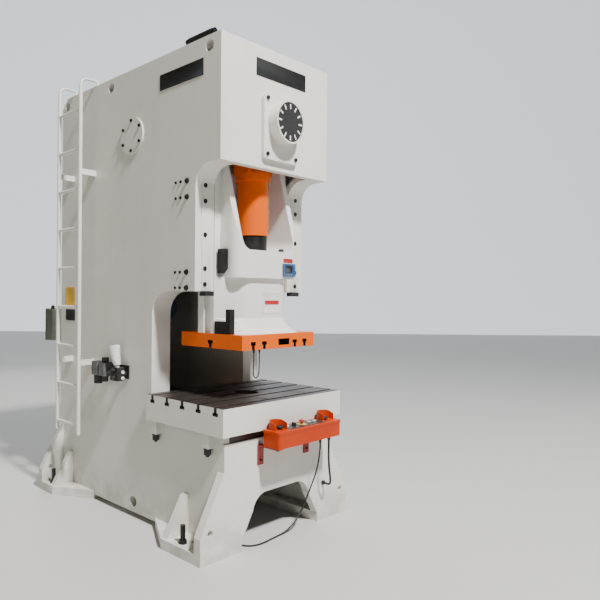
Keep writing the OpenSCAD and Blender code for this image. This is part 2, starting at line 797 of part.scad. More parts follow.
// Motor, flanged to the inside of the back plate, with cooling fins and a foot.
module motor() {
    y1 = y_rear - rear_t;
    y0 = y1 - motor_l;
    color("steelblue") difference() {
        union() {
            rod_y(pinion_x, y0, motor_z, motor_d - 40, motor_l - seat);
            rod_y(pinion_x, y1 - 22, motor_z, motor_d + 40, 22 - seat);
            rod_y(pinion_x, y0 - 70, motor_z, motor_d - 20, 80);
            for (a = [0:20:340]) translate([pinion_x, y0 + 20, motor_z]) rotate([0, a, 0])
                translate([-3, 0, 0]) cube([6, motor_l - 60, motor_d / 2]);
            translate([pinion_x + motor_d / 2 - 30, y0 + 90, motor_z - 60]) cube([70, 130, 120]);
        }
        rod_y(pinion_x, y1 - 64, motor_z, motor_shaft_d - 10 + 2 * running, 70);
    }
}

// Outline round the flywheel's and the motor's shafts, with straight flanks.
function belt_outline(r1, r2) =
    let (a = asin((r1 - r2) / (pinion_z - motor_z)))
    concat(arc(pinion_x, pinion_z, r1, -a, 180 + a, 40), arc(pinion_x, motor_z, r2, 180 + a, 360 - a, 20));

// Sheet guard over the flywheel, the belts and the motor pulley.
module guard_outline(grow) {
    polygon(belt_outline(flywheel_d / 2 + guard_gap + grow, motor_pulley_d / 2 + guard_gap * 2 + grow));
}

module belt_guard() {
    color("whitesmoke") difference() {
        along_y(y_rear, guard_d) guard_outline(sheet_t);
        along_y(y_rear - 1, guard_d - sheet_t + 1) guard_outline(0);
        for (i = [-4:4]) translate([pinion_x - 130, y_rear + guard_d - 20, pinion_z + i * 40 - 8]) cube([260, 40, 14]);
    }
}

// Belts round the flywheel and the motor pulley, clear of their grooves.
module drive_belts() {
    start = y_flywheel + (flywheel_w - belt_pitch * (belts - 1)) / 2;
    color("black") for (i = [0:belts - 1]) along_y(start + i * belt_pitch - 6.5, 13) difference() {
        polygon(belt_outline(flywheel_d / 2 + 4, motor_pulley_d / 2 + 4));
        polygon(belt_outline(flywheel_d / 2 - 4, motor_pulley_d / 2 - 4));
    }
}

// ---- Crank angle dial ----

dial_plate_w = 330;
dial_plate_h = 400;
dial_plate_t = 26;
dial_drum_l = 72;
dial_drum_d = 262;
dial_face_d = 238;
dial_bolt_x = 135;
dial_bolt_z = 169;
dial_plate_z = crank_z - 32;

module dial_housing() {
    y = y_head - dial_plate_t;
    color("whitesmoke") difference() {
        union() {
            along_y(y, dial_plate_t) translate([0, dial_plate_z]) round_rect(dial_plate_w, dial_plate_h, 38);
            rod_y(0, y - dial_drum_l, crank_z, dial_drum_d, dial_drum_l + 1);
        }
        rod_y(0, y - dial_drum_l - 5, crank_z, dial_face_d + 4, 25);
        rod_y(0, y - dial_drum_l - 5, crank_z, 44, dial_drum_l + dial_plate_t + 10);
        for (x = [-1, 1], z = [-1, 1]) rod_y(x * dial_bolt_x, y - 5, dial_plate_z + z * dial_bolt_z, 14.6, 60);
    }
}

module dial_bolts() {
    y = y_head - dial_plate_t;
    color("dimgray") for (x = [-1, 1], z = [-1, 1]) {
        rod_y(x * dial_bolt_x, y, dial_plate_z + z * dial_bolt_z, 14, dial_plate_t);
        hex_y(x * dial_bolt_x, y - 10, dial_plate_z + z * dial_bolt_z, 22, 10 - seat);
        rod_y(x * dial_bolt_x, y - 1, dial_plate_z + z * dial_bolt_z, 14, 3);
    }
}

// Dial disc with twelve raised marks, on the crankshaft's nose.
module dial_disc() {
    y = y_head - dial_plate_t - dial_drum_l;
    color("black") difference() {
        union() {
            rod_y(0, y + 6, crank_z, dial_face_d, 8);
            for (a = [0:30:330]) translate([0, 0, crank_z]) rotate([0, a, 0])
                translate([-5, y + 5, dial_face_d / 2 - 38]) cube([10, 2, 30]);
        }
        rod_y(0, y + 10.5, crank_z, 40.6, 10);
    }
}

// ---- Slide ----

neck_r = 140;
y_neck = y_box + 24;
sill_top = window_z;
slant_z = window_z + 53;

// Plan of the neck: rounded in front, full width between the guides at the back.
module neck_plan(side, front) {
    hull() {
        for (x = [-1, 1]) translate([x * (box_w / 2 - 20 + side - neck_r), y_neck - front + neck_r]) circle(neck_r);
        translate([-slide_w / 2, y_column + 10]) square([slide_w, y_slide_back - y_column - 45]);
    }
}

module box_plan() {
    r = 62;
    hull() {
        for (x = [-1, 1]) translate([x * (box_w / 2 - r), y_box + r]) circle(r);
        translate([-box_w / 2, y_slide_back - 20]) square([box_w, 20]);
    }
}

flare = [[0, 26, 90], [14, 18, 62], [34, 10, 36], [62, 4, 14], [95, 0, 0]];

module slide_flare() {
    for (i = [0:len(flare) - 2]) hull() {
        translate([0, 0, casting_z + flare[i][0]]) linear_extrude(0.1) neck_plan(flare[i][1], flare[i][2]);
        translate([0, 0, casting_z + flare[i + 1][0] - 0.1]) linear_extrude(0.1)
            neck_plan(flare[i + 1][1], flare[i + 1][2]);
    }
}

module slide_body() {
    room_w = box_w - 2 * box_wall;
    r = 80;
    ball_z = sill_z + 40;
    color("whitesmoke") difference() {
        union() {
            slide_flare();
            translate([0, 0, casting_z]) linear_extrude(neck_h + 5) neck_plan(0, 0);
            translate([0, 0, sill_z]) linear_extrude(casting_top - sill_z) box_plan();
            translate([-slide_w / 2, y_column + 10, casting_z])
                cube([slide_w, y_slide_back - y_column - 10, casting_h]);
        }
        // Window round the connecting rod
        along_y(y_box - 20, y_slide_back - y_box - 10) hull() {
            for (x = [-1, 1]) translate([x * (room_w / 2 - r), window_z + r]) circle(r);
            translate([-room_w / 2, casting_top]) square([room_w, 10]);
        }
        // Cheeks slant back towards the top
        along_x(-far / 2, far) polygon([[y_box - 50, slant_z], [y_box - 1, slant_z],
            [y_box + 134, casting_top + 5], [y_box - 50, casting_top + 5]]);
        // Grooves for the guide rails
        for (x = [-1, 1]) translate([x * slide_w / 2 - tongue_d - gap, groove_y - running, casting_z - 5])
            cube([2 * tongue_d + 2 * gap, tongue_w + 2 * running, casting_h + 10]);
        // Cup of the adjusting screw's ball
        translate([0, y_rod, ball_z]) sphere(d = ball_d + 2 * seat);
        rod_z(0, y_rod, ball_z, ball_d + 2 * seat, far);
        for (x = [-1, 1]) rod_z(x * balancer_x, balancer_y, casting_top - 60, balancer_rod_d + 2 * seat, 70);
        // Room for the crankshaft at the top of the stroke
        translate([-room_w / 2, y_slide_back - 45, crank_z - stroke - journal_d / 2 - 22])
            cube([room_w, 60, casting_h]);
        along_x(-face_w / 2 + 2 - seat, 42 + 2 * seat) offset(delta = seat) switch_outline();
    }
}

// Face plate with T-slots from the front and the sides, and the knock-out pocket.
slide_slot_x = [147, 247];
pocket_x = 38;
pocket_w = 106;
pocket_h = 39;

module slide_plate() {
    mid = y_face + face_d / 2;
    color("darkorange") difference() {
        translate([-face_w / 2, y_face, face_z]) cube([face_w, face_d, face_t]);
        for (s = [-1, 1], x = slide_slot_x) translate([s * x, y_face - 5, face_z]) rotate([-90, 0, 0])
            linear_extrude(face_d + 10) slot_outline();
        for (s = [-1, 1]) translate([s > 0 ? slide_slot_x[1] : -face_w / 2 - 5, mid, face_z])
            rotate([90, 0, 90]) linear_extrude(face_w / 2 - slide_slot_x[1] + 5) mirror([0, 1]) slot_outline();
        translate([pocket_x - pocket_w / 2, y_face - 5, face_z + 19]) cube([pocket_w, mid - y_face - 40, pocket_h]);
        rod_z(0, mid, face_z - 5, 60, face_t + 10);
    }
}

module adjusting_screw() {
    ball_z = sill_z + 40;
    color("black") {
        translate([0, y_rod, ball_z]) sphere(d = ball_d);
        rod_z(0, y_rod, ball_z, screw_d - 14, window_z + 5 - ball_z);
        rod_z(0, y_rod, window_z + 4, collar_d, collar_h);
        rod_z(0, y_rod, window_z + 4, screw_d, screw_top - window_z - 4);
    }
}

// Connecting rod: threaded tube, shoulder, and an eye with room for the crank pin's swing.
module connecting_rod() {
    eye_bottom = pin_z - eye_h / 2;
    color("darkorange") difference() {
        union() {
            rod_z(0, y_rod, rod_bottom, rod_d, rod_tube_top - rod_bottom);
            rod_z(0, y_rod, rod_brim_top - 50, rod_brim_d, 50);
            translate([-rod_brim_d / 2, y_rod - eye_l / 2, rod_brim_top - 10])
                cube([rod_brim_d, eye_l, eye_bottom + 30 - rod_brim_top]);
            along_y(y_rod - eye_l / 2, eye_l) translate([0, pin_z]) round_rect(eye_w, eye_h, 110);
        }
        along_y(y_rod - eye_l / 2 - 5, eye_l + 10) translate([0, pin_z])
            round_rect(eye_w - 2 * eye_wall, eye_h - 2 * eye_wall, (crank_pin_d + 8) / 2);
        rod_z(0, y_rod, rod_bottom - 5, screw_d + 2 * running, screw_top + 30 - rod_bottom);
    }
}

balancer_x = 312;
balancer_y = y_column + 122;
balancer_d = 62;
balancer_rod_d = 24;

// Air cylinders under the top plate that carry the slide's weight.
module balancer_cylinders() {
    z0 = casting_top + stroke + 40;
    color("silver") both() difference() {
        rod_z(balancer_x, balancer_y, z0, balancer_d, frame_h - top_t - z0);
        rod_z(balancer_x, balancer_y, z0 - 5, balancer_rod_d + 2 * running, 35);
        rod_z(balancer_x, balancer_y, z0 + 20, balancer_d - 16, frame_h - top_t - z0 - 30);
    }
}

module balancer_rods() {
    z0 = casting_top + stroke + 40;
    color("lightgray") both() {
        rod_z(balancer_x, balancer_y, casting_top - 60, balancer_rod_d, z0 - casting_top + 60 + height_travel + 45);
        rod_z(balancer_x, balancer_y, z0 + height_travel + 40, balancer_d - 16 - 2 * running, 30);
    }
}

// Height read-out on the slide's front wall.
module height_display() {
    x0 = 133;
    h = 84;
    w = 120;
    color("steelblue") difference() {
        along_y(y_box - 12, 12 - seat) translate([x0 + w / 2, sill_z + 14 + h / 2]) round_rect(w, h, 8);
        translate([x0 + 18, y_box - 13, sill_z + 36]) cube([w - 36, 4, h - 44]);
    }
}

// Limit switch cover on the left of the face plate.
module switch_cover() {
    x0 = -face_w / 2 + 2;
    color("black") along_x(x0, 42) switch_outline();
}

module switch_outline() {
    z = casting_z + seat;
    polygon([[y_head + 78, z], [y_head + 205, z], [y_head + 205, z + 76], [y_head + 112, z + 76],
        [y_head + 112, z + 150], [y_head + 78, z + 150]]);
}

indicator_w = 59;
indicator_h = 150;

// Bracket of the height indicator on the slide's left wall.
module indicator_bracket() {
    z = sill_z + 24;
    y = y_column - indicator_w;
    color("black") along_x(-box_w / 2 - 36, 36) polygon([[y, z + 30], [y + 34, z],
        [y_column - 4, z], [y_column - 4, z + indicator_h], [y, z + indicator_h]]);
}

// ---- Fittings on the frame ----

cover_t = 10;

module side_covers() {
    x = frame_w / 2;
    t = cover_t;
    color("gainsboro") both() {
        rod_x(x, inspection_y, inspection_z, inspection_d + 72, t);
        rod_x(x - 14, inspection_y, inspection_z, inspection_d - 2, 15);
    }
}

// Bolts round the two inspection covers.
module cover_bolts() {
    color("black") both() for (a = [30:60:330]) hex_x(frame_w / 2 + cover_t + seat,
        inspection_y + inspection_pcd / 2 * cos(a), inspection_z + inspection_pcd / 2 * sin(a), 19, 10);
}

wiper_h = 28;
wiper_w = 72;
wiper_d = 50;

module wiper_blocks() {
    color("black") both() translate([keeper_x, y_column - 28, soffit_z - wiper_h]) cube([wiper_w, wiper_d, wiper_h]);
}

ladder_x = -frame_w / 2 - ladder_standoff;
ladder_y = y_head + ladder_setback;
ladder_foot = leg_spread_z + 1;
ladder_top = frame_h - 24;
hook_r = 55;
ladder_bracket_z = [ladder_foot + 511, ladder_top - 610];
rung_pitch = (ladder_top - ladder_foot - rung_start - rung_end) / (rungs - 1);

// Ladder: two rails with rungs, hooked over the frame's top and bolted to its side.
module ladder() {
    color("whitesmoke") for (y = [ladder_y, ladder_y + ladder_w]) {
        rod_z(ladder_x, y, ladder_foot, rail_d, ladder_top - ladder_foot);
        translate([ladder_x + hook_r, y, ladder_top - 0.5]) rotate([90, 0, 0]) rotate([0, 0, 90])
            rotate_extrude(angle = 90) translate([hook_r, 0]) circle(d = rung_d - 4);
        rod_x(ladder_x + hook_r - 1, y, ladder_top + hook_r - 0.5, rung_d - 4, ladder_standoff - hook_r + 12);
        rod_z(-frame_w / 2 + 12, y, frame_h, rung_d - 4, ladder_top + hook_r + (rung_d - 4) / 2 - 0.5 - frame_h);
    }
    color("whitesmoke") for (i = [0:rungs - 1])
        translate([ladder_x, ladder_y - 4, ladder_foot + rung_start + i * rung_pitch]) rotate([-90, 0, 0])
            cylinder(d = rung_d, h = ladder_w + 8);
    color("whitesmoke") for (y = [ladder_y, ladder_y + ladder_w], z = ladder_bracket_z) {
        translate([ladder_x + rail_d / 2 - 1, y - 4, z - 20]) cube([ladder_standoff - rail_d / 2 + 1, 8, 40]);
        translate([-frame_w / 2 - 8, y - 4, z - 20]) cube([8, 64, 40]);
        hex_x(-frame_w / 2 - 20, y + 36, z, 19, 12.2);
    }
}

// Air preparation unit on the left side: bracket, filter, regulator and valve block.
air_z = table_z + 34;
air_y = y_head + 1024;
air_standoff = 68;
air_x = -frame_w / 2 - air_standoff;
air_bracket_l = 340;
air_bracket_h = 90;
filter_y = air_y + 86;
valve_y = air_y - 144;
valve_w = 76;
valve_h = 88;

module air_unit() {
    x = -frame_w / 2;
    color("black") translate([x - 8, valve_y - 40, air_z + 30]) cube([8, air_bracket_l, air_bracket_h]);
    color("black") for (y = [valve_y - 10, air_y - 4, filter_y + 30])
        translate([air_x, y - 12, air_z + 55]) cube([air_standoff - 7, 24, 30]);
    color("dimgray") {
        for (y = [filter_y, air_y]) translate([air_x, y, air_z + 40]) linear_extrude(92) round_rect(72, 76, 12);
        rod_z(air_x, filter_y, air_z - 20, 60, 62);
        rod_z(air_x, air_y, air_z + 131, 50, 34);
        rod_y(air_x, valve_y, air_z + 76, 26, 300);
    }
    color("black") {
        rod_z(air_x, air_y, air_z, 44, 42);
        translate([air_x - 30, valve_y - valve_w / 2, air_z + 22]) cube([60, valve_w, valve_h]);
        for (z = [0, 46]) rod_x(air_x - 52, valve_y, air_z + 42 + z, 30, 24);
    }
}

// Lubricator bowl on the valve block, tilted in its wrapping.
bowl_tilt = 18;

module lubricator_bowl() {
    z = air_z + 22 + valve_h;
    color("white") rod_z(air_x, valve_y + 6, z + seat, 30, 22);
    color("white") translate([air_x, valve_y + 6, z + 12]) rotate([-bowl_tilt, 0, 0]) {
        cylinder(d1 = 46, d2 = 84, h = 120);
        translate([0, 0, 120]) cylinder(d = 84, h = 12);
    }
}

// Exhaust silencer along the head's left top edge.
module silencer() {
    x = -frame_w / 2 + 25;
    z = frame_h + 24;
    y = y_head + 82;
    color("black") {
        rod_y(x, y + 16, z, 44, 190);
        rod_y(x, y, z, 30, 226);
        rod_y(x, y - 8, z, 38, 14);
        rod_y(x, y + 216, z, 38, 14);
        hex_z(x, y + 111, frame_h, 30, 12);
    }
}

// ---- Two-hand control box ----

control_y = y_bolster - 5 - control_d;
control_top = control_z + control_h;
button_x = control_w / 2 - 88;
button_y = control_y + control_d / 2 + 4;
panel_t = 3;
stem_d = 22;

module control_box() {
    w = 4;
    color("orangered") difference() {
        translate([control_x, control_y + control_d / 2, control_z]) {
            linear_extrude(control_h) round_rect(control_w - 6, control_d - 6, 12);
            translate([0, 0, control_h - 16]) linear_extrude(16) round_rect(control_w, control_d, 15);
        }
        translate([control_x, control_y + control_d / 2, control_z + w]) linear_extrude(control_h - 2 * w)
            round_rect(control_w - 6 - 2 * w, control_d - 6 - 2 * w, 8);
        for (x = [-1, 1]) rod_z(control_x + x * button_x, button_y, control_top - 10, stem_d + 1, 20);
        for (x = panel_x) rod_z(control_x + x, button_y, control_top - 10, 17, 20);
        for (x = gland_x) rod_z(x, gland_y, control_z - 5, 17, 20);
    }
}

panel_x = [-88, -12, 62, 112];
gland_x = [243, 335];
gland_y = control_y + 64;

// Dark panel with its two lamps, on the box's top between the palm buttons.
module control_panel() {
    color("dimgray") difference() {
        translate([control_x, button_y, control_top]) linear_extrude(panel_t)
            round_rect(control_w - 270, control_d - 34, 6);
        for (x = panel_x) rod_z(control_x + x, button_y, control_top - 5, 17, 20);
    }
    color("white") for (i = [2, 3]) {
        rod_z(control_x + panel_x[i], button_y, control_top - 8, 17, 12);
        rod_z(control_x + panel_x[i], button_y, control_top + panel_t, 23, 7);
    }
}

// Guards that keep anything but a palm off the buttons, open to the front.
module palm_guards() {
    r = 54;
    color("orangered") for (x = [-1, 1]) translate([control_x + x * (button_x + 14), button_y - 2, control_top])
        difference() {
            linear_extrude(palm_guard_h) difference() {
                hull() {
                    circle(r);
                    translate([-r, -18]) square([2 * r, 18]);
                }
                hull() {
                    circle(r - 4);
                    translate([4 - r, -60]) square([2 * r - 8, 60]);
                }
            }
            translate([-far / 2, 0, 0]) rotate([90, 0, 90]) linear_extrude(far)
                polygon([[-80, palm_guard_h * 0.7], [-20, palm_guard_h * 0.7], [24, palm_guard_h + 1], [-80, palm_guard_h + 1]]);
        }
}

module palm_button(x) {
    z = control_top + panel_t + palm_travel + 1;
    color("black") {
        rod_z(x, button_y, control_top - 20, stem_d, z - control_top + 21);
        translate([x, button_y, z]) rotate_extrude() polygon(concat([[0, 0], [palm_d / 2, 0]],
            [for (a = [0:15:90]) [palm_d / 2 * cos(a), 5 + 9 * sin(a)]]));
        rod_z(x, button_y, control_top - 24, stem_d + 8, 6);
    }
}

module palm_button_left() palm_button(control_x - button_x);

module palm_button_right() palm_button(control_x + button_x);

module stop_button() {
    x = control_x + panel_x[1];
    z = control_top + panel_t + 16;
    color("red") {
        rod_z(x, button_y, control_top - 18, 16, z - control_top + 19);
        translate([x, button_y, z]) rotate_extrude() polygon(concat([[0, 0], [17, 0]],
            [for (a = [0:15:90]) [17 * cos(a), 6 + 8 * sin(a)]]));
        rod_z(x, button_y, control_top - 22, 24, 6);
    }
}

module mode_switch() {
    x = control_x + panel_x[0];
    z = control_top + panel_t + seat;
    color("black") {
        rod_z(x, button_y, control_top - 18, 16, z - control_top + 19);
        rod_z(x, button_y, z, 26, 9);
        translate([x - 4, button_y - 13, z + 8]) cube([8, 26, 12]);
        rod_z(x, button_y, control_top - 22, 24, 6);
    }
}

bracket_x = [-209, 234];
bracket_reach = [14, 84];
bracket_w = 50;
bracket_t = 8;

module control_brackets() {
    drop = 120;
    color("firebrick") for (i = [0, 1]) {
        x = bracket_x[i] - bracket_w / 2;
        y = control_y + bracket_reach[i];
        translate([x, y_bed - bracket_t, control_z - drop]) cube([bracket_w, bracket_t, drop]);
        translate([x, y, control_z - bracket_t]) cube([bracket_w, y_bed - y, bracket_t]);
    }
}

// ---- Cables ----

leg_gland = [420, y_bed, 246];
web_gland = [-side_x, -235, 120];
thick_d = 14;
thin_d = 10;

module gland_down(x, d) {
    difference() {
        union() {
            hex_z(x, gland_y, control_z - 12, 26, 12);
            translate([x, gland_y, control_z - 38]) cylinder(d1 = d + 5, d2 = 22, h = 26.1);
        }
        rod_z(x, gland_y, control_z - 40, d + 2 * seat, 24);
    }
}

module cable_glands() {
    color("black") {
        gland_down(gland_x[0], thin_d);
        gland_down(gland_x[1], thick_d);
        difference() {
            hex_y(leg_gland[0], y_bed - 14, leg_gland[2], 26, 14);
            rod_y(leg_gland[0], y_bed - 16, leg_gland[2], thick_d + 2 * seat, 10);
        }
        difference() {
            hex_x(web_gland[0], web_gland[1], web_gland[2], 24, 14);
            rod_x(web_gland[0] + 6, web_gland[1], web_gland[2], thin_d + 2 * seat, 10);
        }
    }
}

// Points of the two cables' routes.
thick_route = [
    [gland_x[1], gland_y, control_z - 36], [gland_x[1], gland_y, control_z - 76], [336, -1029, 470],
    [340, -1028, 420], [348, -1026, 375], [360, -1023, 335], [375, -1016, 300], [391, -1005, 274],
    [405, -990, 256], [415, -972, 247], [420, y_bed - 28, 246], [420, y_bed - 10, 246]];
thin_route = [
    [gland_x[0], gland_y, control_z - 36], [gland_x[0], gland_y + 1, control_z - 76], [245, -1019, 450],
    [248, -999, 370], [248, -974, 300],
    [240, -948, 225], [215, -934, 155], [178, -928, 100], [130, -924, 55], [80, -920, 26],
    [30, -918, 10], [-30, -920, 6], [-100, -926, 6], [-170, -932, 6], [-230, -928, 6],
    [-280, -905, 6], [-310, -860, 6], [-322, -800, 6], [-326, -720, 6], [-328, -630, 6],
    [-328, -530, 6], [-326, -430, 6], [-320, -350, 6], [-312, -290, 9], [-318, -252, 30],
    [-345, -238, 68], [-385, -235, 102], [-425, -235, 118], [-452, -235, 120]];

function unit(v) = v / norm(v);
function spline(p, i, t) =
    let (n = len(p) - 1, a = p[max(i - 1, 0)], b = p[i], c = p[min(i + 1, n)], d = p[min(i + 2, n)])
    0.5 * (2 * b + (c - a) * t + (2 * a - 5 * b + 4 * c - d) * t * t + (3 * b - a - 3 * c + d) * t * t * t);
function route_points(p, step) = concat(
    [for (i = [0:len(p) - 2]) let (n = max(1, round(norm(p[i + 1] - p[i]) / step)))
        for (k = [0:n - 1]) spline(p, i, k / n)],
    [p[len(p) - 1]]);

module tube(route, d, step) {
    pts = route_points(route, step);
    n = len(pts);
    sides = 8;
    rings = [for (i = [0:n - 1])
        let (t = unit(pts[min(i + 1, n - 1)] - pts[max(i - 1, 0)]), u = unit(cross(t, [1, 1, 1])), v = cross(t, u))
        for (k = [0:sides - 1]) pts[i] + d / 2 * (cos(360 * k / sides) * u + sin(360 * k / sides) * v)];
    walls = [for (i = [0:n - 2], k = [0:sides - 1]) let (a = i * sides + k, b = i * sides + (k + 1) % sides)
        [a, a + sides, b + sides, b]];
    caps = [[for (k = [0:sides - 1]) k], [for (k = [sides - 1:-1:0]) (n - 1) * sides + k]];
    polyhedron(rings, concat(walls, caps));
}

module box_cable() color("black") tube(thick_route, thick_d - 0.4, 36);

module long_cable() color("black") tube(thin_route, thin_d - 0.4, 34);

side_plate_left();
side_plate_right();
head_front_plate();
top_plate();
throat_flange_left();
throat_flange_right();
column_web_left();
column_web_right();
crank_bulkheads();
rear_plate();
bed_top_plate();
bed_front_plate();
feet();
levelling_bolts();
bolster();
bolster_clamps();
clamp_bolts();
keeper_plates();
keeper_bolts();
guide_rails();
gib_screws();
wiper_blocks();
bearing_bushes();
dial_housing();
dial_bolts();
side_covers();
cover_bolts();
ladder();
air_unit();
lubricator_bowl();
silencer();
belt_guard();
motor();
balancer_cylinders();
control_box();
control_panel();
palm_guards();
control_brackets();
cable_glands();
box_cable();
long_cable();
slide_body();
slide_plate();
adjusting_screw();
height_display();
switch_cover();
indicator_bracket();
balancer_rods();
connecting_rod();
crankshaft();
main_gear();
dial_disc();
pinion_shaft();
flywheel();
drive_belts();
motor_pulley();
palm_button_left();
palm_button_right();
stop_button();
mode_switch();
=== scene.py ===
"""Finishes, cables and small fittings of an open-frame punch press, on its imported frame."""
import logging
import math
from collections.abc import Callable, Iterable
from dataclasses import dataclass, replace
from enum import Enum
from itertools import product

import bpy
from mathutils import Euler, Matrix, Vector


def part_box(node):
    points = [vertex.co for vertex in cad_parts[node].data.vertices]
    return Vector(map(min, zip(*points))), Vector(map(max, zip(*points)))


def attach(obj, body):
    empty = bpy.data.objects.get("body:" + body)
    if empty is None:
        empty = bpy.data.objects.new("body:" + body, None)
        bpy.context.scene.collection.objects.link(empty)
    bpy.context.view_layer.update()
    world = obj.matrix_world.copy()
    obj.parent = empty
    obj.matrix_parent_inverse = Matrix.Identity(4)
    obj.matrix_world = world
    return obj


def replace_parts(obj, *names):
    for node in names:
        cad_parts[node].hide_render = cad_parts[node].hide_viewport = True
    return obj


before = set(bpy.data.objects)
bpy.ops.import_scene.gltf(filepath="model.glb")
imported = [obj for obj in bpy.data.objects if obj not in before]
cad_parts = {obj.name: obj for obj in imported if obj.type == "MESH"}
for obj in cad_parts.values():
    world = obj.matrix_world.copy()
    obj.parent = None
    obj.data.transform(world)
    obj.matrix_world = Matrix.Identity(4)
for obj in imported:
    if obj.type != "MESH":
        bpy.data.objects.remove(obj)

LOG = logging.getLogger("punch_press")
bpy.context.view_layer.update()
Point = tuple[float, float, float]
Colour = tuple[float, float, float]
Piece = bpy.types.Object


# ---- Shader maths ----

def _operator(operation: str, swapped: bool = False) -> Callable[["Sock", "Sock | float"], "Sock"]:
    """Makes one arithmetic method of a socket.

    Args:
        operation: The Math node's operation.
        swapped: Whether the socket stands on the right.

    Returns:
        The method.
    """
    def method(self: "Sock", other: "Sock | float") -> "Sock":
        """Adds the Math node."""
        return self.math(operation, *((other, self) if swapped else (self, other)))
    return method


class Sock:
    """A shader socket that adds Math nodes when it is used in an expression."""

    __add__ = _operator("ADD")
    __radd__ = _operator("ADD", swapped=True)
    __sub__ = _operator("SUBTRACT")
    __rsub__ = _operator("SUBTRACT", swapped=True)
    __mul__ = _operator("MULTIPLY")

    def __init__(self, shader: "Shader", socket: bpy.types.NodeSocket) -> None:
        """Wraps one output socket of a shader's node."""
        self.shader = shader
        self.socket = socket

    def math(self, operation: str, *values: "Sock | float") -> "Sock":
        """Adds a Math node of this operation and its inputs, in order."""
        inputs = dict(enumerate(values))
        return self.shader.node("ShaderNodeMath", {"operation": operation}, inputs)

    def size(self) -> "Sock":
        """Takes its sign away."""
        return self.math("ABSOLUTE", self)

    def near(self, middle: float, reach: float) -> "Sock":
        """A sharp mask, 1 within reach of the middle and 0 elsewhere."""
        return self.math("COMPARE", self, middle, reach)

    def above(self, edge: float, width: float) -> "Sock":
        """A soft mask.

        Args:
            edge: The value where the mask is one half.
            width: The range over which it goes from 0 to 1.

        Returns:
            The mask, from 0 below the edge to 1 above it.
        """
        ramp = {"interpolation_type": "SMOOTHSTEP"}
        span = {0: self, 1: edge - width / 2, 2: edge + width / 2, 3: 0.0, 4: 1.0}
        return self.shader.node("ShaderNodeMapRange", ramp, span)


class Shader:
    """The node tree of one material."""

    def __init__(self, name: str) -> None:
        """Makes an empty material with a Principled shader.

        Args:
            name: The material's name.
        """
        self.material = bpy.data.materials.new(name)
        self.material.use_nodes = True
        self.tree = self.material.node_tree
        self.bsdf = next(n for n in self.tree.nodes if n.type == "BSDF_PRINCIPLED")

    def node(self, kind: str, settings: dict[str, object] | None = None,
             inputs: dict[int | str, object] | None = None, output: int | str = 0) -> Sock:
        """Adds any node.

        Args:
            kind: The node's type.
            settings: Its properties, set before its sockets.
            inputs: Values or links of its input sockets, by number or name.
            output: The output socket to return.

        Returns:
            The chosen output.
        """
        made = self.tree.nodes.new(kind)
        for name, value in (settings or {}).items():
            setattr(made, name, value)
        for key, value in (inputs or {}).items():
            self._feed(made.inputs[key], value)
        return Sock(self, made.outputs[output])

    def _feed(self, socket: bpy.types.NodeSocket, value: object) -> None:
        """Links or sets one input socket.

        Args:
            socket: The input.
            value: A socket to link, or the value to set.
        """
        if isinstance(value, Sock):
            self.tree.links.new(value.socket, socket)
        elif socket.type == "RGBA" and len(value) == 3:
            socket.default_value = (*value, 1.0)
        else:
            socket.default_value = value

    def coords(self, scale: Point = (1.0, 1.0, 1.0)) -> Sock:
        """Object coordinates, scaled along each axis."""
        vector = self.node("ShaderNodeTexCoord", output="Object")
        return self.node("ShaderNodeMapping", {}, {"Vector": vector, "Scale": scale})

    def noise(self, scale: float, detail: float = 3.0, vector: Sock | None = None) -> Sock:
        """A noise pattern.

        Args:
            scale: Blobs per metre.
            detail: Octaves of finer noise.
            vector: Mapped coordinates, plain ones when left out.

        Returns:
            The pattern's factor.
        """
        base = vector or self.coords()
        inputs = {"Vector": base, "Scale": scale, "Detail": detail, "Roughness": 0.55}
        return self.node("ShaderNodeTexNoise", {}, inputs)

    def along(self, letter: str) -> Sock:
        """One object coordinate, in metres, named X, Y or Z."""
        return self.node("ShaderNodeSeparateXYZ", {}, {0: self.coords()}, letter)

    def mix(self, mask: Sock | float, first: object, second: object) -> Sock:
        """Mixes two colours or sockets; a mask of 0 gives the first and 1 the second."""
        return self.node("ShaderNodeMix", {"data_type": "RGBA"}, {0: mask, 6: first, 7: second}, 2)

    def bump(self, pattern: Sock, depth: float, strength: float) -> None:
        """Feeds a bump pattern, with its depth in metres, to the shader's normal."""
        inputs = {"Height": pattern, "Distance": depth, "Strength": strength}
        self.set(Normal=self.node("ShaderNodeBump", {}, inputs))

    def set(self, **values: object) -> None:
        """Sets sockets of the Principled shader; an underscore in a name stands for a space."""
        for name, value in values.items():
            self._feed(self.bsdf.inputs[name.replace("_", " ")], value)


# ---- Finishes ----

class Surface(Enum):
    """Kinds of surface that the press has, each with the Skin method that makes it."""

    PAINT = "paint"
    GROUND_STEEL = "ground_steel"
    TURNED_STEEL = "turned_steel"
    CASTING = "casting"
    PLASTIC = "plastic"
    RUBBER = "rubber"
    FOAM = "foam"
    CLEAR = "clear"
    BOLSTER = "bolster"
    DIAL = "dial"
    PANEL = "panel"
    AIR_UNIT = "air_unit"
    SLOTTED = "slotted"


DIRT: Colour = (0.16, 0.12, 0.085)
# Near-black colour for the bare steel in the slide plate's slots, darker than the steel itself:
# painted shade in the recesses.
SHADED_BARE_STEEL: Colour = (0.012, 0.009, 0.007)
RUST: Colour = (0.11, 0.055, 0.028)
MARK_WHITE: Colour = (0.8, 0.8, 0.78)
MILKY_GLASS: Colour = (0.75, 0.75, 0.7)
BLACK_PART: Colour = (0.012, 0.012, 0.012)
BLACK_DUSTY: Colour = (0.05, 0.047, 0.04)
SLOT_ROWS = (0.147, 0.247)
SLOT_HALF = 0.0225
LAMP_FOOT_Z = 0.6978


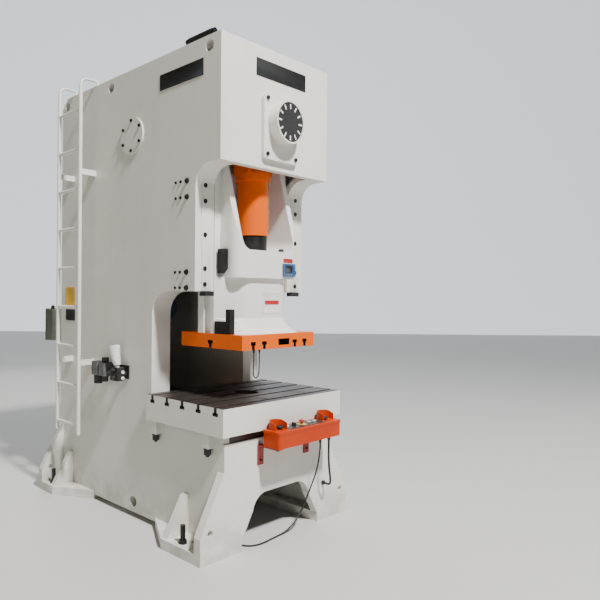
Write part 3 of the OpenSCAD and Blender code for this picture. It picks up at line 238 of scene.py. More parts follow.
@dataclass(frozen=True)
class Finish:
    """One finish of the press and how it wears."""

    name: str
    surface: Surface
    colour: Colour
    shade: Colour
    roughness: float = 0.4
    metallic: float = 0.0
    coat: float = 0.0
    grime: float = 0.0
    specular: float = 0.5

    def material(self) -> bpy.types.Material:
        """Builds the finish.

        Returns:
            The material, made once for each name.
        """
        known = bpy.data.materials.get(self.name + "_finish")
        if known:
            return known
        skin = Skin(self)
        getattr(skin, self.surface.value)()
        return skin.material


class Skin(Shader):
    """The shader of one finish, with a method for each kind of surface."""

    def __init__(self, finish: Finish) -> None:
        """Starts the finish's material.

        Args:
            finish: The finish.
        """
        super().__init__(finish.name + "_finish")
        self.finish = finish
        self.roughness = finish.roughness
        self.set(Metallic=finish.metallic, Specular_IOR_Level=finish.specular)

    def tone(self, mask: Sock) -> Sock:
        """Mixes the finish's colour with its shade."""
        return self.mix(mask, self.finish.colour, self.finish.shade)

    def paint(self, bare_and_shaded: Sock | float = 0.0) -> None:
        """Brushed-filler paint: broad waves, faint runs, dust near the floor and small scuffs.

        Args:
            bare_and_shaded: Mask of the places left as bare steel, coloured near black as painted
                shade.
        """
        broad = self.noise(2.2, 4.0)
        runs = self.noise(3.0, 5.0, self.coords((5.0, 5.0, 0.35)))
        specks = self.noise(38.0, 6.0)
        scuffs = specks.above(0.67, 0.05) * broad.above(0.5, 0.3)
        low = 1.0 - self.along("Z").above(0.16, 0.34)
        dust = low * self.noise(9.0, 6.0).above(0.46, 0.3) * self.finish.grime
        tone = self.tone(broad.above(0.5, 0.5) * 0.55 + runs.above(0.62, 0.25) * 0.3)
        share = min(1.0, self.finish.grime * 2.0 + 0.3)
        worn = self.mix(scuffs * 0.5 * share, tone, self.finish.shade)
        # Where the mask is set the colour is near-black steel: bare steel darkened as painted
        # shade.
        skin = self.mix(bare_and_shaded, self.mix(dust, worn, DIRT), SHADED_BARE_STEEL)
        self.set(Base_Color=skin, Coat_Weight=self.finish.coat, Coat_Roughness=0.12,
                 Roughness=self.roughness + (broad - 0.5) * 0.16 + dust * 0.3 + scuffs * 0.1)
        waves = self.noise(7.0, 2.0) * 0.8 + self.noise(420.0, 2.0) * 0.035
        self.bump(waves, 0.003, 0.5)

    def slotted(self) -> None:
        """Paint that stops at the edges of the T-slots and the pocket, where bare steel is coloured
        near black as painted shade.
        """
        low, high = (Vector(corner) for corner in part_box("slide_plate"))
        x, y, z = (self.along(letter) for letter in "XYZ")
        side, middle = x.size(), (low.y + high.y) / 2
        depth = y.near(middle, middle - low.y - 0.001)
        inner, outer = SLOT_ROWS
        rows = (side.near(inner, SLOT_HALF) + side.near(outer, SLOT_HALF)) * depth
        reach = (high.x - outer) / 2
        ends = y.near(middle, SLOT_HALF) * side.near(outer + reach, reach - 0.001)
        slots = (rows + ends) * z.near(low.z + 0.0248, 0.0243)
        pocket = x.near(0.038, 0.0535) * z.near(low.z + 0.0385, 0.0199) * depth
        # The slots and pocket get near-black steel: bare steel with painted shade in the recesses.
        self.paint((slots + pocket).above(0.5, 0.2))

    def ground_steel(self) -> Sock:
        """Ground plate: fine lines along one way, oil stains and a film of rust in the low spots.

        Returns:
            Its colour.
        """
        lines = self.noise(9.0, 4.0, self.coords((1.2, 60.0, 60.0)))
        stains = self.noise(6.0, 6.0)
        spots = self.noise(55.0, 5.0)
        rust = stains.above(0.6, 0.2) * spots.above(0.5, 0.3)
        tone = self.tone(lines.above(0.5, 0.5))
        colour = self.mix(rust * 0.6, tone, RUST)
        self.set(Base_Color=colour, Roughness=self.roughness + (stains - 0.5) * 0.4 + rust * 0.2)
        self.bump(lines * 0.6 + spots * 0.4, 0.0012, 0.4)
        return colour

    def bolster(self) -> None:
        """Ground top and slots, with the frame's paint on the sides and the front edge."""
        low, high = (Vector(corner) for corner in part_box("bolster"))
        steel = self.ground_steel()
        side = self.along("X").size()
        front = 0.0 - self.along("Y")
        painted = side.above(high.x - 0.0006, 0.0004) + front.above(-low.y - 0.0006, 0.0004)
        broad = self.noise(2.2, 4.0)
        paint = self.mix(broad.above(0.5, 0.5) * 0.5, FRAME_PAINT.colour, FRAME_PAINT.shade)
        chips = self.noise(24.0, 6.0).above(0.73, 0.03)
        mask = painted.above(0.5, 0.2) * (1.0 - chips)
        self.set(Base_Color=self.mix(mask, steel, paint),
                 Metallic=(1.0 - mask) * self.finish.metallic)

    def dial(self) -> None:
        """Black enamel with its raised marks wiped white."""
        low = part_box("dial_disc")[0]
        marks = (0.0 - self.along("Y")).above(-low[1] - 0.0005, 0.0004)
        worn = self.noise(90.0, 4.0)
        enamel = self.tone(worn)
        self.set(Base_Color=self.mix(marks, enamel, MARK_WHITE),
                 Roughness=self.roughness + (worn - 0.5) * 0.2)
        self.bump(self.noise(500.0, 2.0), 0.0002, 0.3)

    def panel(self) -> None:
        """Dark engraved panel whose lamps are milky glass."""
        lamps = self.along("Z").above(LAMP_FOOT_Z, 0.0004)
        grain = self.noise(700.0, 2.0)
        tone = self.tone(self.noise(30.0, 3.0))
        self.set(Base_Color=self.mix(lamps, tone, MILKY_GLASS),
                 Roughness=self.roughness - lamps * 0.2 + (grain - 0.5) * 0.1)
        self.bump(grain, 0.0003, 0.3)

    def air_unit(self) -> None:
        """Grey cast filter bodies between black bowls, knob, bracket and valve."""
        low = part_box("air_unit")[0]
        z = self.along("Z")
        grey = (self.along("Y").above(0.07, 0.002) * z.above(low[2] + 0.0605, 0.0008)
                * (1.0 - z.above(low[2] + 0.1515, 0.0008))
                * (1.0 - self.along("X").above(-0.535, 0.001)))
        grit = self.noise(320.0, 3.0)
        dust = self.noise(34.0, 5.0).above(0.55, 0.3)
        black = self.mix(dust * 0.6, BLACK_PART, BLACK_DUSTY)
        body = self.tone(dust)
        self.set(Base_Color=self.mix(grey, black, body),
                 Roughness=self.roughness + (grit - 0.5) * 0.2)
        self.bump(grit, 0.0006, 0.5)

    def turned_steel(self) -> None:
        """Turned or blackened steel with handling marks."""
        fine = self.noise(160.0, 4.0)
        broad = self.noise(14.0, 4.0)
        self.set(Base_Color=self.tone(broad.above(0.5, 0.5)),
                 Roughness=self.roughness + (broad - 0.5) * 0.3)
        self.bump(fine, 0.0006, 0.35)

    def casting(self) -> None:
        """Sand-cast skin."""
        grit = self.noise(230.0, 4.0)
        lumps = self.noise(24.0, 3.0)
        self.set(Base_Color=self.tone(lumps.above(0.5, 0.5)),
                 Roughness=self.roughness + (grit - 0.5) * 0.3)
        self.bump(grit * 0.5 + lumps, 0.0018, 0.5)

    def plastic(self) -> None:
        """Moulded plastic with a fine spark-eroded grain."""
        grain = self.noise(900.0, 2.0)
        broad = self.noise(26.0, 3.0)
        self.set(Base_Color=self.tone(broad.above(0.5, 0.6) * 0.6),
                 Roughness=self.roughness + (grain - 0.5) * 0.16, Coat_Weight=self.finish.coat)
        self.bump(grain, 0.0003, 0.4)

    def rubber(self) -> None:
        """Dusty rubber."""
        dust = self.noise(40.0, 5.0).above(0.58, 0.3)
        self.set(Base_Color=self.tone(dust * 0.5),
                 Roughness=self.roughness + (dust - 0.5) * 0.15)
        self.bump(self.noise(300.0, 3.0), 0.0004, 0.4)

    def foam(self) -> None:
        """Crinkled foam wrapping."""
        folds = self.noise(48.0, 4.0)
        self.set(Base_Color=self.tone(folds.above(0.5, 0.4)),
                 Roughness=self.roughness + (folds - 0.5) * 0.2)
        self.bump(folds, 0.006, 0.8)

    def clear(self) -> None:
        """Clear moulding with a faint tint."""
        haze = self.noise(60.0, 3.0)
        self.set(Base_Color=self.tone(haze * 0.4),
                 Roughness=0.08 + haze * 0.1, Transmission_Weight=0.85, IOR=1.46)


FRAME_PAINT = Finish(
    "frame_paint", Surface.PAINT, (0.77, 0.755, 0.69), (0.69, 0.675, 0.605), 0.42, grime=0.3)
SLIDE_PAINT = Finish(
    "slide_paint", Surface.PAINT, (0.8, 0.79, 0.755), (0.72, 0.71, 0.67), 0.3, coat=0.3)
ORANGE_PAINT = Finish(
    "orange_paint", Surface.PAINT, (0.8, 0.125, 0.0), (0.7, 0.1, 0.0), 0.38, specular=0.2)
PLATE_PAINT = replace(ORANGE_PAINT, name="plate_paint", surface=Surface.SLOTTED)
BOX_PAINT = Finish(
    "red_orange_paint", Surface.PAINT, (0.5, 0.04, 0.0), (0.42, 0.03, 0.0), 0.4, specular=0.2)
BRACKET_PAINT = Finish("bracket_paint", Surface.PAINT, (0.3, 0.014, 0.014), (0.2, 0.01, 0.01), 0.42)
MOTOR_PAINT = Finish(
    "motor_paint", Surface.PAINT, (0.055, 0.1, 0.15), (0.04, 0.075, 0.11), 0.4, coat=0.2)
DARK_STEEL = Finish(
    "dark_steel", Surface.GROUND_STEEL, (0.06, 0.052, 0.047), (0.12, 0.105, 0.095), 0.42, 0.75)
BOLSTER_STEEL = replace(DARK_STEEL, name="bolster_steel", surface=Surface.BOLSTER)
DIAL_ENAMEL = Finish("dial_enamel", Surface.DIAL, (0.008, 0.008, 0.008), (0.02, 0.02, 0.02), 0.3)
AIR_UNIT = Finish(
    "air_unit_body", Surface.AIR_UNIT, (0.13, 0.135, 0.125), (0.08, 0.083, 0.075), 0.45)
PANEL_STEEL = Finish(
    "panel_steel", Surface.PANEL, (0.022, 0.022, 0.024), (0.035, 0.035, 0.036), 0.36)
BLACK_STEEL = Finish(
    "black_steel", Surface.TURNED_STEEL, (0.012, 0.012, 0.013), (0.028, 0.027, 0.026), 0.42, 0.5)
BRIGHT_STEEL = Finish(
    "bright_steel", Surface.TURNED_STEEL, (0.52, 0.52, 0.53), (0.42, 0.42, 0.43), 0.3, 1.0)
CAST_IRON = Finish(
    "cast_grey", Surface.CASTING, (0.075, 0.077, 0.08), (0.05, 0.05, 0.052), 0.55, 0.7)
BRONZE = Finish("bronze", Surface.TURNED_STEEL, (0.5, 0.27, 0.09), (0.38, 0.19, 0.06), 0.32, 1.0)
BLACK_PLASTIC = Finish(
    "black_plastic", Surface.PLASTIC, (0.012, 0.012, 0.013), (0.022, 0.022, 0.023), 0.38)
GREY_PLASTIC = Finish("grey_plastic", Surface.PLASTIC, (0.2, 0.205, 0.2), (0.26, 0.26, 0.25), 0.4)
WHITE_FOAM = Finish("white_foam", Surface.FOAM, (0.78, 0.78, 0.76), (0.6, 0.6, 0.58), 0.6)
BLUE_PLASTIC = Finish(
    "blue_plastic", Surface.PLASTIC, (0.03, 0.1, 0.24), (0.02, 0.075, 0.18), 0.3, coat=0.3)
RED_PLASTIC = Finish(
    "red_plastic", Surface.PLASTIC, (0.5, 0.01, 0.01), (0.38, 0.008, 0.008), 0.28, coat=0.4)
BLACK_RUBBER = Finish(
    "black_rubber", Surface.RUBBER, (0.012, 0.012, 0.012), (0.04, 0.037, 0.034), 0.6)
WHITE_LABEL = Finish("white_label", Surface.PLASTIC, (0.78, 0.78, 0.76), (0.72, 0.72, 0.7), 0.35)
YELLOW_LABEL = Finish("yellow_label", Surface.PLASTIC, (0.72, 0.43, 0.02), (0.62, 0.36, 0.02), 0.35)
BLACK_LABEL = Finish("black_label", Surface.PLASTIC, (0.01, 0.01, 0.01), (0.02, 0.02, 0.02), 0.32)
SCREEN_GLASS = Finish(
    "screen_glass", Surface.PLASTIC, (0.012, 0.018, 0.024), (0.02, 0.028, 0.034), 0.12, coat=0.6)
BOX_GREY = Finish("box_grey", Surface.PLASTIC, (0.12, 0.13, 0.105), (0.09, 0.1, 0.08), 0.45)
RED_LABEL = Finish("red_label", Surface.PLASTIC, (0.45, 0.02, 0.02), (0.36, 0.02, 0.02), 0.35)
OIL_TUBE = Finish("oil_tube", Surface.CLEAR, (0.85, 0.72, 0.4), (0.8, 0.66, 0.34), 0.1)

NODE_FINISHES: dict[Finish, tuple[str, ...]] = {
    FRAME_PAINT: (
        "side_plate_left", "side_plate_right", "head_front_plate", "top_plate",
        "throat_flange_left", "throat_flange_right", "column_web_left", "column_web_right",
        "crank_bulkheads", "rear_plate", "bed_front_plate", "feet", "bolster_clamps",
        "keeper_plates", "side_covers", "dial_housing", "ladder", "belt_guard"),
    SLIDE_PAINT: ("slide_body",),
    PLATE_PAINT: ("slide_plate",),
    ORANGE_PAINT: ("connecting_rod",),
    BOX_PAINT: ("control_box", "palm_guards"),
    BRACKET_PAINT: ("control_brackets",),
    MOTOR_PAINT: ("motor",),
    DARK_STEEL: ("bed_top_plate",),
    BOLSTER_STEEL: ("bolster",),
    DIAL_ENAMEL: ("dial_disc",),
    PANEL_STEEL: ("control_panel",),
    BLACK_STEEL: (
        "levelling_bolts", "clamp_bolts", "keeper_bolts", "gib_screws", "switch_cover",
        "indicator_bracket", "adjusting_screw", "silencer", "cover_bolts", "dial_bolts"),
    BRIGHT_STEEL: (
        "crankshaft", "main_gear", "pinion_shaft", "balancer_rods", "balancer_cylinders"),
    CAST_IRON: ("flywheel", "motor_pulley"),
    BRONZE: ("guide_rails", "bearing_bushes"),
    BLACK_PLASTIC: (
        "cable_glands", "palm_button_left", "palm_button_right", "mode_switch", "wiper_blocks"),
    AIR_UNIT: ("air_unit",),
    WHITE_FOAM: ("lubricator_bowl",),
    BLUE_PLASTIC: ("height_display",),
    RED_PLASTIC: ("stop_button",),
    BLACK_RUBBER: ("box_cable", "long_cable", "drive_belts"),
}


def dress_nodes() -> None:
    """Gives every CAD node its finish."""
    for finish, names in NODE_FINISHES.items():
        for name in names:
            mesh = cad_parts[name].data
            mesh.materials.clear()
            mesh.materials.append(finish.material())


# ---- Modelling ----

ORIGIN: Point = (0.0, 0.0, 0.0)
SHARP_EDGE = math.radians(35)
SMOOTH_EDGE = math.radians(32)
STEPS = 6
Nut = tuple[float, float, float]
Screw = tuple[float, float]


class Axis(Enum):
    """Directions that pieces point in, as Euler angles that turn +Z that way."""

    X = (0.0, math.pi / 2, 0.0)
    Y = (-math.pi / 2, 0.0, 0.0)
    Z = (0.0, 0.0, 0.0)
    FRONT = (math.pi / 2, 0.0, 0.0)
    LEFT = (0.0, -math.pi / 2, 0.0)
    DOWN = (math.pi, 0.0, 0.0)

    def matrix(self) -> Matrix:
        """The turn as a matrix."""
        return Euler(self.value).to_matrix().to_4x4()


FaceTest = Callable[[Vector, Vector], bool]


def deselect() -> None:
    """Leaves edit mode and deselects everything."""
    if bpy.context.object and bpy.context.object.mode != "OBJECT":
        bpy.ops.object.mode_set(mode="OBJECT")
    bpy.ops.object.select_all(action="DESELECT")


def activate(piece: Piece) -> None:
    """Selects one object alone and makes it active.

    Args:
        piece: The object.
    """
    deselect()
    piece.select_set(True)
    bpy.context.view_layer.objects.active = piece


def newest(name: str) -> Piece:
    """Names the object that was added last.

    Args:
        name: The name that it and its mesh get.

    Returns:
        The object.
    """
    piece = bpy.context.object
    piece.name = piece.data.name = name
    return piece


def extrude(way: Point) -> None:
    """Extrudes the selected faces by a distance along each axis."""
    bpy.ops.mesh.extrude_region_move(TRANSFORM_OT_translate={"value": way})


def close_edit() -> None:
    """Turns all faces outwards and leaves edit mode."""
    bpy.ops.mesh.select_all(action="SELECT")
    bpy.ops.mesh.normals_make_consistent(inside=False)
    bpy.ops.object.mode_set(mode="OBJECT")


def settle(piece: Piece) -> Piece:
    """Moves a piece's place into its mesh.

    Args:
        piece: The object.

    Returns:
        The same object, at the origin.
    """
    activate(piece)
    bpy.ops.object.transform_apply(location=True, rotation=True, scale=True)
    return piece


def block(name: str, low: Point, high: Point) -> Piece:
    """Starts a piece from a box.

    Args:
        name: The piece's name.
        low: Its lowest corner.
        high: Its highest corner.

    Returns:
        The settled object.
    """
    deselect()
    middle = [(a + b) / 2 for a, b in zip(low, high)]
    size = [b - a for a, b in zip(low, high)]
    bpy.ops.mesh.primitive_cube_add(size=1, location=middle, scale=size)
    return settle(newest(name))


def turned(name: str, profile: list[tuple[float, float]], sides: int) -> Piece:
    """Models an upright turned piece by extruding and scaling its end face along a profile.

    Args:
        name: The piece's name.
        profile: Pairs of height and radius, from its first face up.
        sides: Sides of its circle.

    Returns:
        The settled object.
    """
    deselect()
    reached, radius = profile[0]
    bpy.ops.mesh.primitive_circle_add(vertices=sides, radius=radius, fill_type="NGON",
                                      location=(0, 0, reached))
    piece = newest(name)
    bpy.ops.object.mode_set(mode="EDIT")
    bpy.ops.mesh.select_all(action="SELECT")
    for height, next_radius in profile[1:]:
        extrude((0, 0, height - reached))
        bpy.ops.transform.resize(value=[next_radius / radius] * 3, center_override=(0, 0, height))
        reached, radius = height, next_radius
    close_edit()
    return settle(piece)


def bevel(piece: Piece, width: float, segments: int = 2) -> None:
    """Rounds a piece's sharp edges with an applied modifier.

    Args:
        piece: The object.
        width: How wide the rounding is.
        segments: Steps across it.
    """
    activate(piece)
    modifier = piece.modifiers.new("edges", "BEVEL")
    modifier.width = width
    modifier.segments = segments
    modifier.limit_method = "ANGLE"
    modifier.angle_limit = SHARP_EDGE
    bpy.ops.object.modifier_apply(modifier=modifier.name)


def pick_faces(piece: Piece, test: FaceTest) -> None:
    """Enters edit mode with only the faces that pass a test selected.

    Args:
        piece: The object.
        test: Takes a face's middle and normal.
    """
    activate(piece)
    bpy.ops.object.mode_set(mode="EDIT")
    bpy.ops.mesh.select_mode(type="FACE")
    bpy.ops.mesh.select_all(action="DESELECT")
    bpy.ops.object.mode_set(mode="OBJECT")
    for face in piece.data.polygons:
        face.select = test(face.center, face.normal)
    bpy.ops.object.mode_set(mode="EDIT")


def join(name: str, pieces: Iterable[Piece]) -> Piece:
    """Joins pieces into one.

    Args:
        name: The joined piece's name.
        pieces: What to join.

    Returns:
        The joined object.
    """
    made = list(pieces)
    activate(made[0])
    for piece in made:
        piece.select_set(True)
    if len(made) > 1:
        bpy.ops.object.join()
    made[0].name = made[0].data.name = name
    return made[0]


def dress(piece: Piece, finish: Finish, body: str = "frame") -> Piece:
    """Finishes a piece.

    Args:
        piece: The object.
        finish: Its finish.
        body: The body that it rides on.

    Returns:
        The same object.
    """
    activate(piece)
    bpy.ops.object.shade_smooth_by_angle(angle=SMOOTH_EDGE)
    piece.data.materials.clear()
    piece.data.materials.append(finish.material())
    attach(piece, body)
    LOG.info("%s: %s on %s, %d faces", piece.name, finish.name, body, len(piece.data.polygons))
    return piece


def spread(piece: Piece, axis: Axis, places: list[Point]) -> list[Piece]:
    """Stands an upright piece at its place and copies it, each copy with its own mesh.

    Args:
        piece: The piece, with its seat at the origin.
        axis: The way that it points.
        places: Where it and its copies stand.

    Returns:
        The piece and its copies.
    """
    piece.matrix_world = Matrix.Translation(places[0]) @ axis.matrix()
    made = [settle(piece)]
    for place in places[1:]:
        twin = piece.copy()
        twin.data = piece.data.copy()
        bpy.context.scene.collection.objects.link(twin)
        twin.location = Vector(place) - Vector(places[0])
        made.append(settle(twin))
    return made


def scatter(piece: Piece, axis: Axis, places: list[Point], finish: Finish,
            body: str = "frame") -> Piece:
    """Spreads an upright piece over places, and joins and finishes the copies under its name."""
    return dress(join(piece.name, spread(piece, axis, places)), finish, body)


def socket_screw(name: str, diameter: float, height: float) -> Piece:
    """Models an upright socket screw's head.

    Args:
        name: The piece's name.
        diameter: The head's diameter.
        height: The head's height.

    Returns:
        The settled object.
    """
    r = diameter / 2
    edge = height * 0.12
    piece = turned(name, [(0, r), (height - edge, r), (height, r - edge)], 24)
    pick_faces(piece, lambda middle, normal: normal.z > 0.9 and middle.z > height * 0.95)
    bpy.ops.mesh.inset(thickness=r * 0.42, depth=0.0)
    extrude((0, 0, -height * 0.55))
    bpy.ops.object.mode_set(mode="OBJECT")
    return piece


def hex_nut(name: str, across: float, height: float, stud: float) -> Piece:
    """Models an upright hexagon head or nut on a washer, with a chamfered crown and a stud's end.

    Args:
        name: The piece's name.
        across: The width across its flats.
        height: Its height with the washer.
        stud: The diameter of the stud's end.

    Returns:
        The settled object.
    """
    r, r_stud = across / math.sqrt(3), stud / 2
    washer = [(0, r * 1.15), (0.14, r * 1.15), (0.18, r * 1.1)]
    crown = [(0.16, r), (0.88, r), (1.0, r * 0.88)]
    end = [(0.9, r_stud), (1.2, r_stud), (1.26, r_stud * 0.84)]
    return join(name, [turned(name, [(share * height, radius) for share, radius in profile], sides)
                       for profile, sides in ((washer, 28), (crown, 6), (end, 20))])


def annulus(name: str, outer: float, inner: float, height: float, sides: int = 40) -> Piece:
    """Models a flat ring by drawing its circle inwards and giving it a wall.

    Args:
        name: The piece's name.
        outer: Its outer radius.
        inner: Its hole's radius.
        height: Its thickness.
        sides: Sides of its circle.

    Returns:
        The settled object.
    """
    deselect()
    bpy.ops.mesh.primitive_circle_add(vertices=sides, radius=outer, fill_type="NOTHING")
    piece = newest(name)
    bpy.ops.object.mode_set(mode="EDIT")
    bpy.ops.mesh.select_mode(type="EDGE")
    bpy.ops.mesh.select_all(action="SELECT")
    bpy.ops.mesh.extrude_edges_move(TRANSFORM_OT_translate={"value": (0, 0, 0)})
    bpy.ops.transform.resize(value=[inner / outer] * 3, center_override=(0, 0, 0))
    close_edit()
    up = piece.data.polygons[0].normal.z > 0
    modifier = piece.modifiers.new("wall", "SOLIDIFY")
    modifier.thickness = height
    modifier.offset = 1.0 if up else -1.0
    bpy.ops.object.modifier_apply(modifier=modifier.name)
    bevel(piece, height * 0.2, 1)
    return piece


def spline(points: list[Vector], steps: int) -> list[Vector]:
    """Runs a smooth curve through points.

    Args:
        points: The route's points.
        steps: Pieces between two points.

    Returns:
        Points along the curve, ends included.
    """
    last = len(points) - 1
    made = []
    for i in range(last):
        a, b, c, d = (points[min(max(k, 0), last)] for k in (i - 1, i, i + 1, i + 2))
        for t in (k / steps for k in range(steps)):
            made.append(0.5 * (2 * b + (c - a) * t + (2 * a - 5 * b + 4 * c - d) * t * t
                               + (3 * b - a - 3 * c + d) * t ** 3))
    return made + [points[last]]


def tube(name: str, route: Iterable[Point], diameter: float, steps: int,
         resolution: int) -> Piece:
    """Makes a round curve with closed ends along a smooth route.

    Args:
        name: The piece's name.
        route: The route's points.
        diameter: The curve's diameter.
        steps: Pieces between two points.
        resolution: How round its section is.

    Returns:
        The curve.
    """
    path = spline([Vector(point) for point in route], steps)
    curve = bpy.data.curves.new(name, "CURVE")
    curve.dimensions = "3D"
    curve.bevel_depth = diameter / 2
    curve.bevel_resolution = resolution
    curve.use_fill_caps = True
    line = curve.splines.new("POLY")
    line.points.add(len(path) - 1)
    for point, place in zip(line.points, path):
        point.co = (*place, 1.0)
    line.use_smooth = True
    piece = bpy.data.objects.new(name, curve)
    bpy.context.scene.collection.objects.link(piece)
    return piece


def pipe(name: str, route: Iterable[Point], diameter: float, steps: int = STEPS) -> Piece:
    """Models a rigid pipe or bead along a smooth route.

    Args:
        name: The piece's name.
        route: The route's points.
        diameter: The pipe's diameter.
        steps: Pieces between two points.

    Returns:
        The pipe as a mesh.
    """
    activate(tube(name, route, diameter, steps, 4))
    bpy.ops.object.convert(target="MESH")
    return bpy.context.object


# ---- Cables ----

def metres(*route: Point) -> tuple[Point, ...]:
    """Turns points in millimetres into metres."""
    return tuple(tuple(value / 1000 for value in point) for point in route)


@dataclass(frozen=True)
class Cable:
    """A free cable and its route; modelled says whether a CAD node stands for it."""

    node: str
    diameter: float
    length: float
    route: tuple[Point, ...]
    body: str = "frame"
    modelled: bool = True

    def build(self) -> None:
        """Makes the cable as one open curve."""
        piece = tube(self.node + "_jacket", self.route, self.diameter, STEPS, 5)
        piece.data.materials.append(BLACK_RUBBER.material())
        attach(piece, self.body)
        if self.modelled:
            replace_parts(piece, self.node)
        LOG.info("%s: cable of %.2f m", piece.name, self.length)


BOX_CABLE = Cable("box_cable", 0.0136, 0.388, metres(
    (335, -1030, 560), (335, -1030, 520), (336, -1029, 470), (340, -1028, 420),
    (348, -1026, 375), (360, -1023, 335), (375, -1016, 300), (391, -1005, 274), (405, -990, 256),
    (415, -972, 247), (420, -952, 246), (420, -934, 246)))
LONG_CABLE = Cable("long_cable", 0.0096, 1.828, metres(
    (243, -1030, 560), (243, -1029, 520), (245, -1019, 450), (248, -999, 370), (248, -974, 300),
    (240, -948, 225), (215, -934, 155), (178, -928, 100), (130, -924, 55), (80, -920, 26),
    (30, -918, 10), (-30, -920, 6), (-100, -926, 6), (-170, -932, 6), (-230, -928, 6),
    (-280, -905, 6), (-310, -860, 6), (-322, -800, 6), (-326, -720, 6), (-328, -630, 6),
    (-328, -530, 6), (-326, -430, 6), (-320, -350, 6), (-312, -290, 9), (-318, -252, 30),
    (-345, -238, 68), (-385, -235, 102), (-425, -235, 118), (-452, -235, 120)))
LOOP_X = -0.201
LOOP_HALF = metres(
    (-226, -885, 1133.5), (-226, -885, 1120), (-226, -885, 1080), (-226, -884, 1045),
    (-225.5, -883, 1015), (-219, -882, 995), (-210, -882, 987))
LOOP_REST = tuple((2 * LOOP_X - x, y, z) for x, y, z in reversed(LOOP_HALF))
SENSOR_LOOP = Cable("sensor_loop", 0.007, 0.3228,
                    (*LOOP_HALF, (LOOP_X, -0.882, 0.9845), *LOOP_REST), "slide", modelled=False)


# ---- Plates ----

RIM_STEP = 0.0007


@dataclass(frozen=True)
class Plate:
    """A thin bare plate with a raised rim and a rivet at each corner."""

    name: str
    low: Point
    high: Point
    face: Axis
    finish: Finish
    body: str = "frame"
    rim: float = 0.004
    rivet: float = 0.0

    def build(self) -> None:
        """Makes the plate."""
        plate = block(self.name, self.low, self.high)
        out = self.face.matrix().to_3x3() @ Vector((0, 0, 1))
        pick_faces(plate, lambda _middle, normal: normal.dot(out) > 0.9)
        bpy.ops.mesh.inset(thickness=self.rim, depth=0.0)
        bpy.ops.mesh.inset(thickness=0.0006, depth=-RIM_STEP)
        bpy.ops.object.mode_set(mode="OBJECT")
        bevel(plate, 0.0005, 1)
        parts = [plate]
        if self.rivet:
            places = self._rivet_places(out)
            r = self.rivet / 2
            profile = [(0, r), (r * 0.35, r * 0.9), (r * 0.6, r * 0.5)]
            parts += spread(turned(self.name + "_rivet", profile, 14), self.face, places)
        dress(join(self.name, parts), self.finish, self.body)

    def _rivet_places(self, out: Vector) -> list[Point]:
        """Places of the four rivets on the plate's face.

        Args:
            out: The way that the face looks.

        Returns:
            The places.
        """
        inset = self.rim + self.rivet * 0.9
        ends = []
        for way, low, high in zip(out, self.low, self.high):
            if abs(way) > 0.5:
                ends.append(((high if way > 0 else low) - way * RIM_STEP,))
            else:
                ends.append((low + inset, high - inset))
        return list(product(*ends))


PLATES: tuple[Plate, ...] = (
    Plate("head_plate", (-0.211, -0.878, 2.800), (0.266, -0.875, 2.907),
          Axis.FRONT, BLACK_LABEL, rivet=0.007),
    Plate("side_plate_sign", (-0.513, -0.731, 2.765), (-0.510, -0.334, 2.865),
          Axis.LEFT, BLACK_LABEL, rivet=0.007),
    Plate("yellow_side_plate", (-0.5125, 0.653, 1.392), (-0.510, 0.783, 1.530),
          Axis.LEFT, YELLOW_LABEL, rivet=0.005),
    Plate("black_side_plate", (-0.5125, 0.653, 1.277), (-0.510, 0.783, 1.361),
          Axis.LEFT, BLACK_LABEL, rivet=0.005),
    Plate("display_tag", (0.141, -0.809, 1.691), (0.236, -0.807, 1.717),
          Axis.FRONT, RED_LABEL, "slide", 0.002),
    Plate("neck_plate", (-0.022, -0.7855, 1.366), (0.138, -0.783, 1.498),
          Axis.FRONT, WHITE_LABEL, "slide", 0.003, 0.005),
    Plate("neck_plate_band", (-0.010, -0.7863, 1.420), (0.126, -0.7848, 1.446),
          Axis.FRONT, RED_LABEL, "slide", 0.0015),
)


# ---- Columns ----

@dataclass(frozen=True)
class ColumnFaces:
    """Keeper plates let into the columns' faces, their screws, and the guides' set screws."""

    plate_in: float = 0.382
    plate_out: float = 0.4585
    proud: float = 0.004
    top: float = 2.152
    screw_x: float = 0.433
    screw: Screw = (0.029, 0.004)
    screw_shares: tuple[float, ...] = (0.06, 0.2, 0.5, 0.8, 0.94)
    guide_z: tuple[float, ...] = (1.520, 1.615, 2.067, 2.164)
    guide_y: tuple[float, float, float] = (-0.595, -0.538, -0.494)
    guide_nut: Nut = (0.024, 0.012, 0.012)
    guide_screw: Screw = (0.018, 0.006)

    def keepers(self) -> None:
        """Makes the two keeper plates."""
        low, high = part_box("keeper_plates")
        back = high[1]
        plates = []
        for side in (-1, 1):
            x0, x1 = sorted((side * self.plate_in, side * self.plate_out))
            plate = block("keeper_face", (x0, back - self.proud, low[2]), (x1, back, self.top))
            bevel(plate, 0.0015)
            plates.append(plate)
        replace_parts(dress(join("keeper_faces", plates), FRAME_PAINT), "keeper_plates")

    def keeper_screws(self) -> None:
        """Makes the ten socket screws of the keeper plates."""
        low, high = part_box("keeper_plates")
        front = high[1] - self.proud
        rise = high[2] - low[2]
        places = [(side * self.screw_x, front, low[2] + share * rise)
                  for side in (-1, 1) for share in self.screw_shares]
        screw = socket_screw("keeper_screw_heads", *self.screw)
        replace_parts(scatter(screw, Axis.FRONT, places, BLACK_STEEL), "keeper_bolts")

    def guide_screws(self) -> None:
        """Makes the set screws of the guides on both sides, three in each row."""
        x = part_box("side_plate_right")[1][0]
        parts = []
        for axis, side in ((Axis.LEFT, -1), (Axis.X, 1)):
            big = [(side * x, self.guide_y[0], z) for z in self.guide_z]
            small = [(side * x, y, z) for z, y in product(self.guide_z, self.guide_y[1:])]
            parts += spread(hex_nut("guide_nut", *self.guide_nut), axis, big)
            parts += spread(socket_screw("guide_screw", *self.guide_screw), axis, small)
        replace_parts(dress(join("guide_screws", parts), BLACK_STEEL), "gib_screws")

    def build(self) -> None:
        """Makes all of them."""
        self.keepers()
        self.keeper_screws()
        self.guide_screws()


# ---- Slide ----

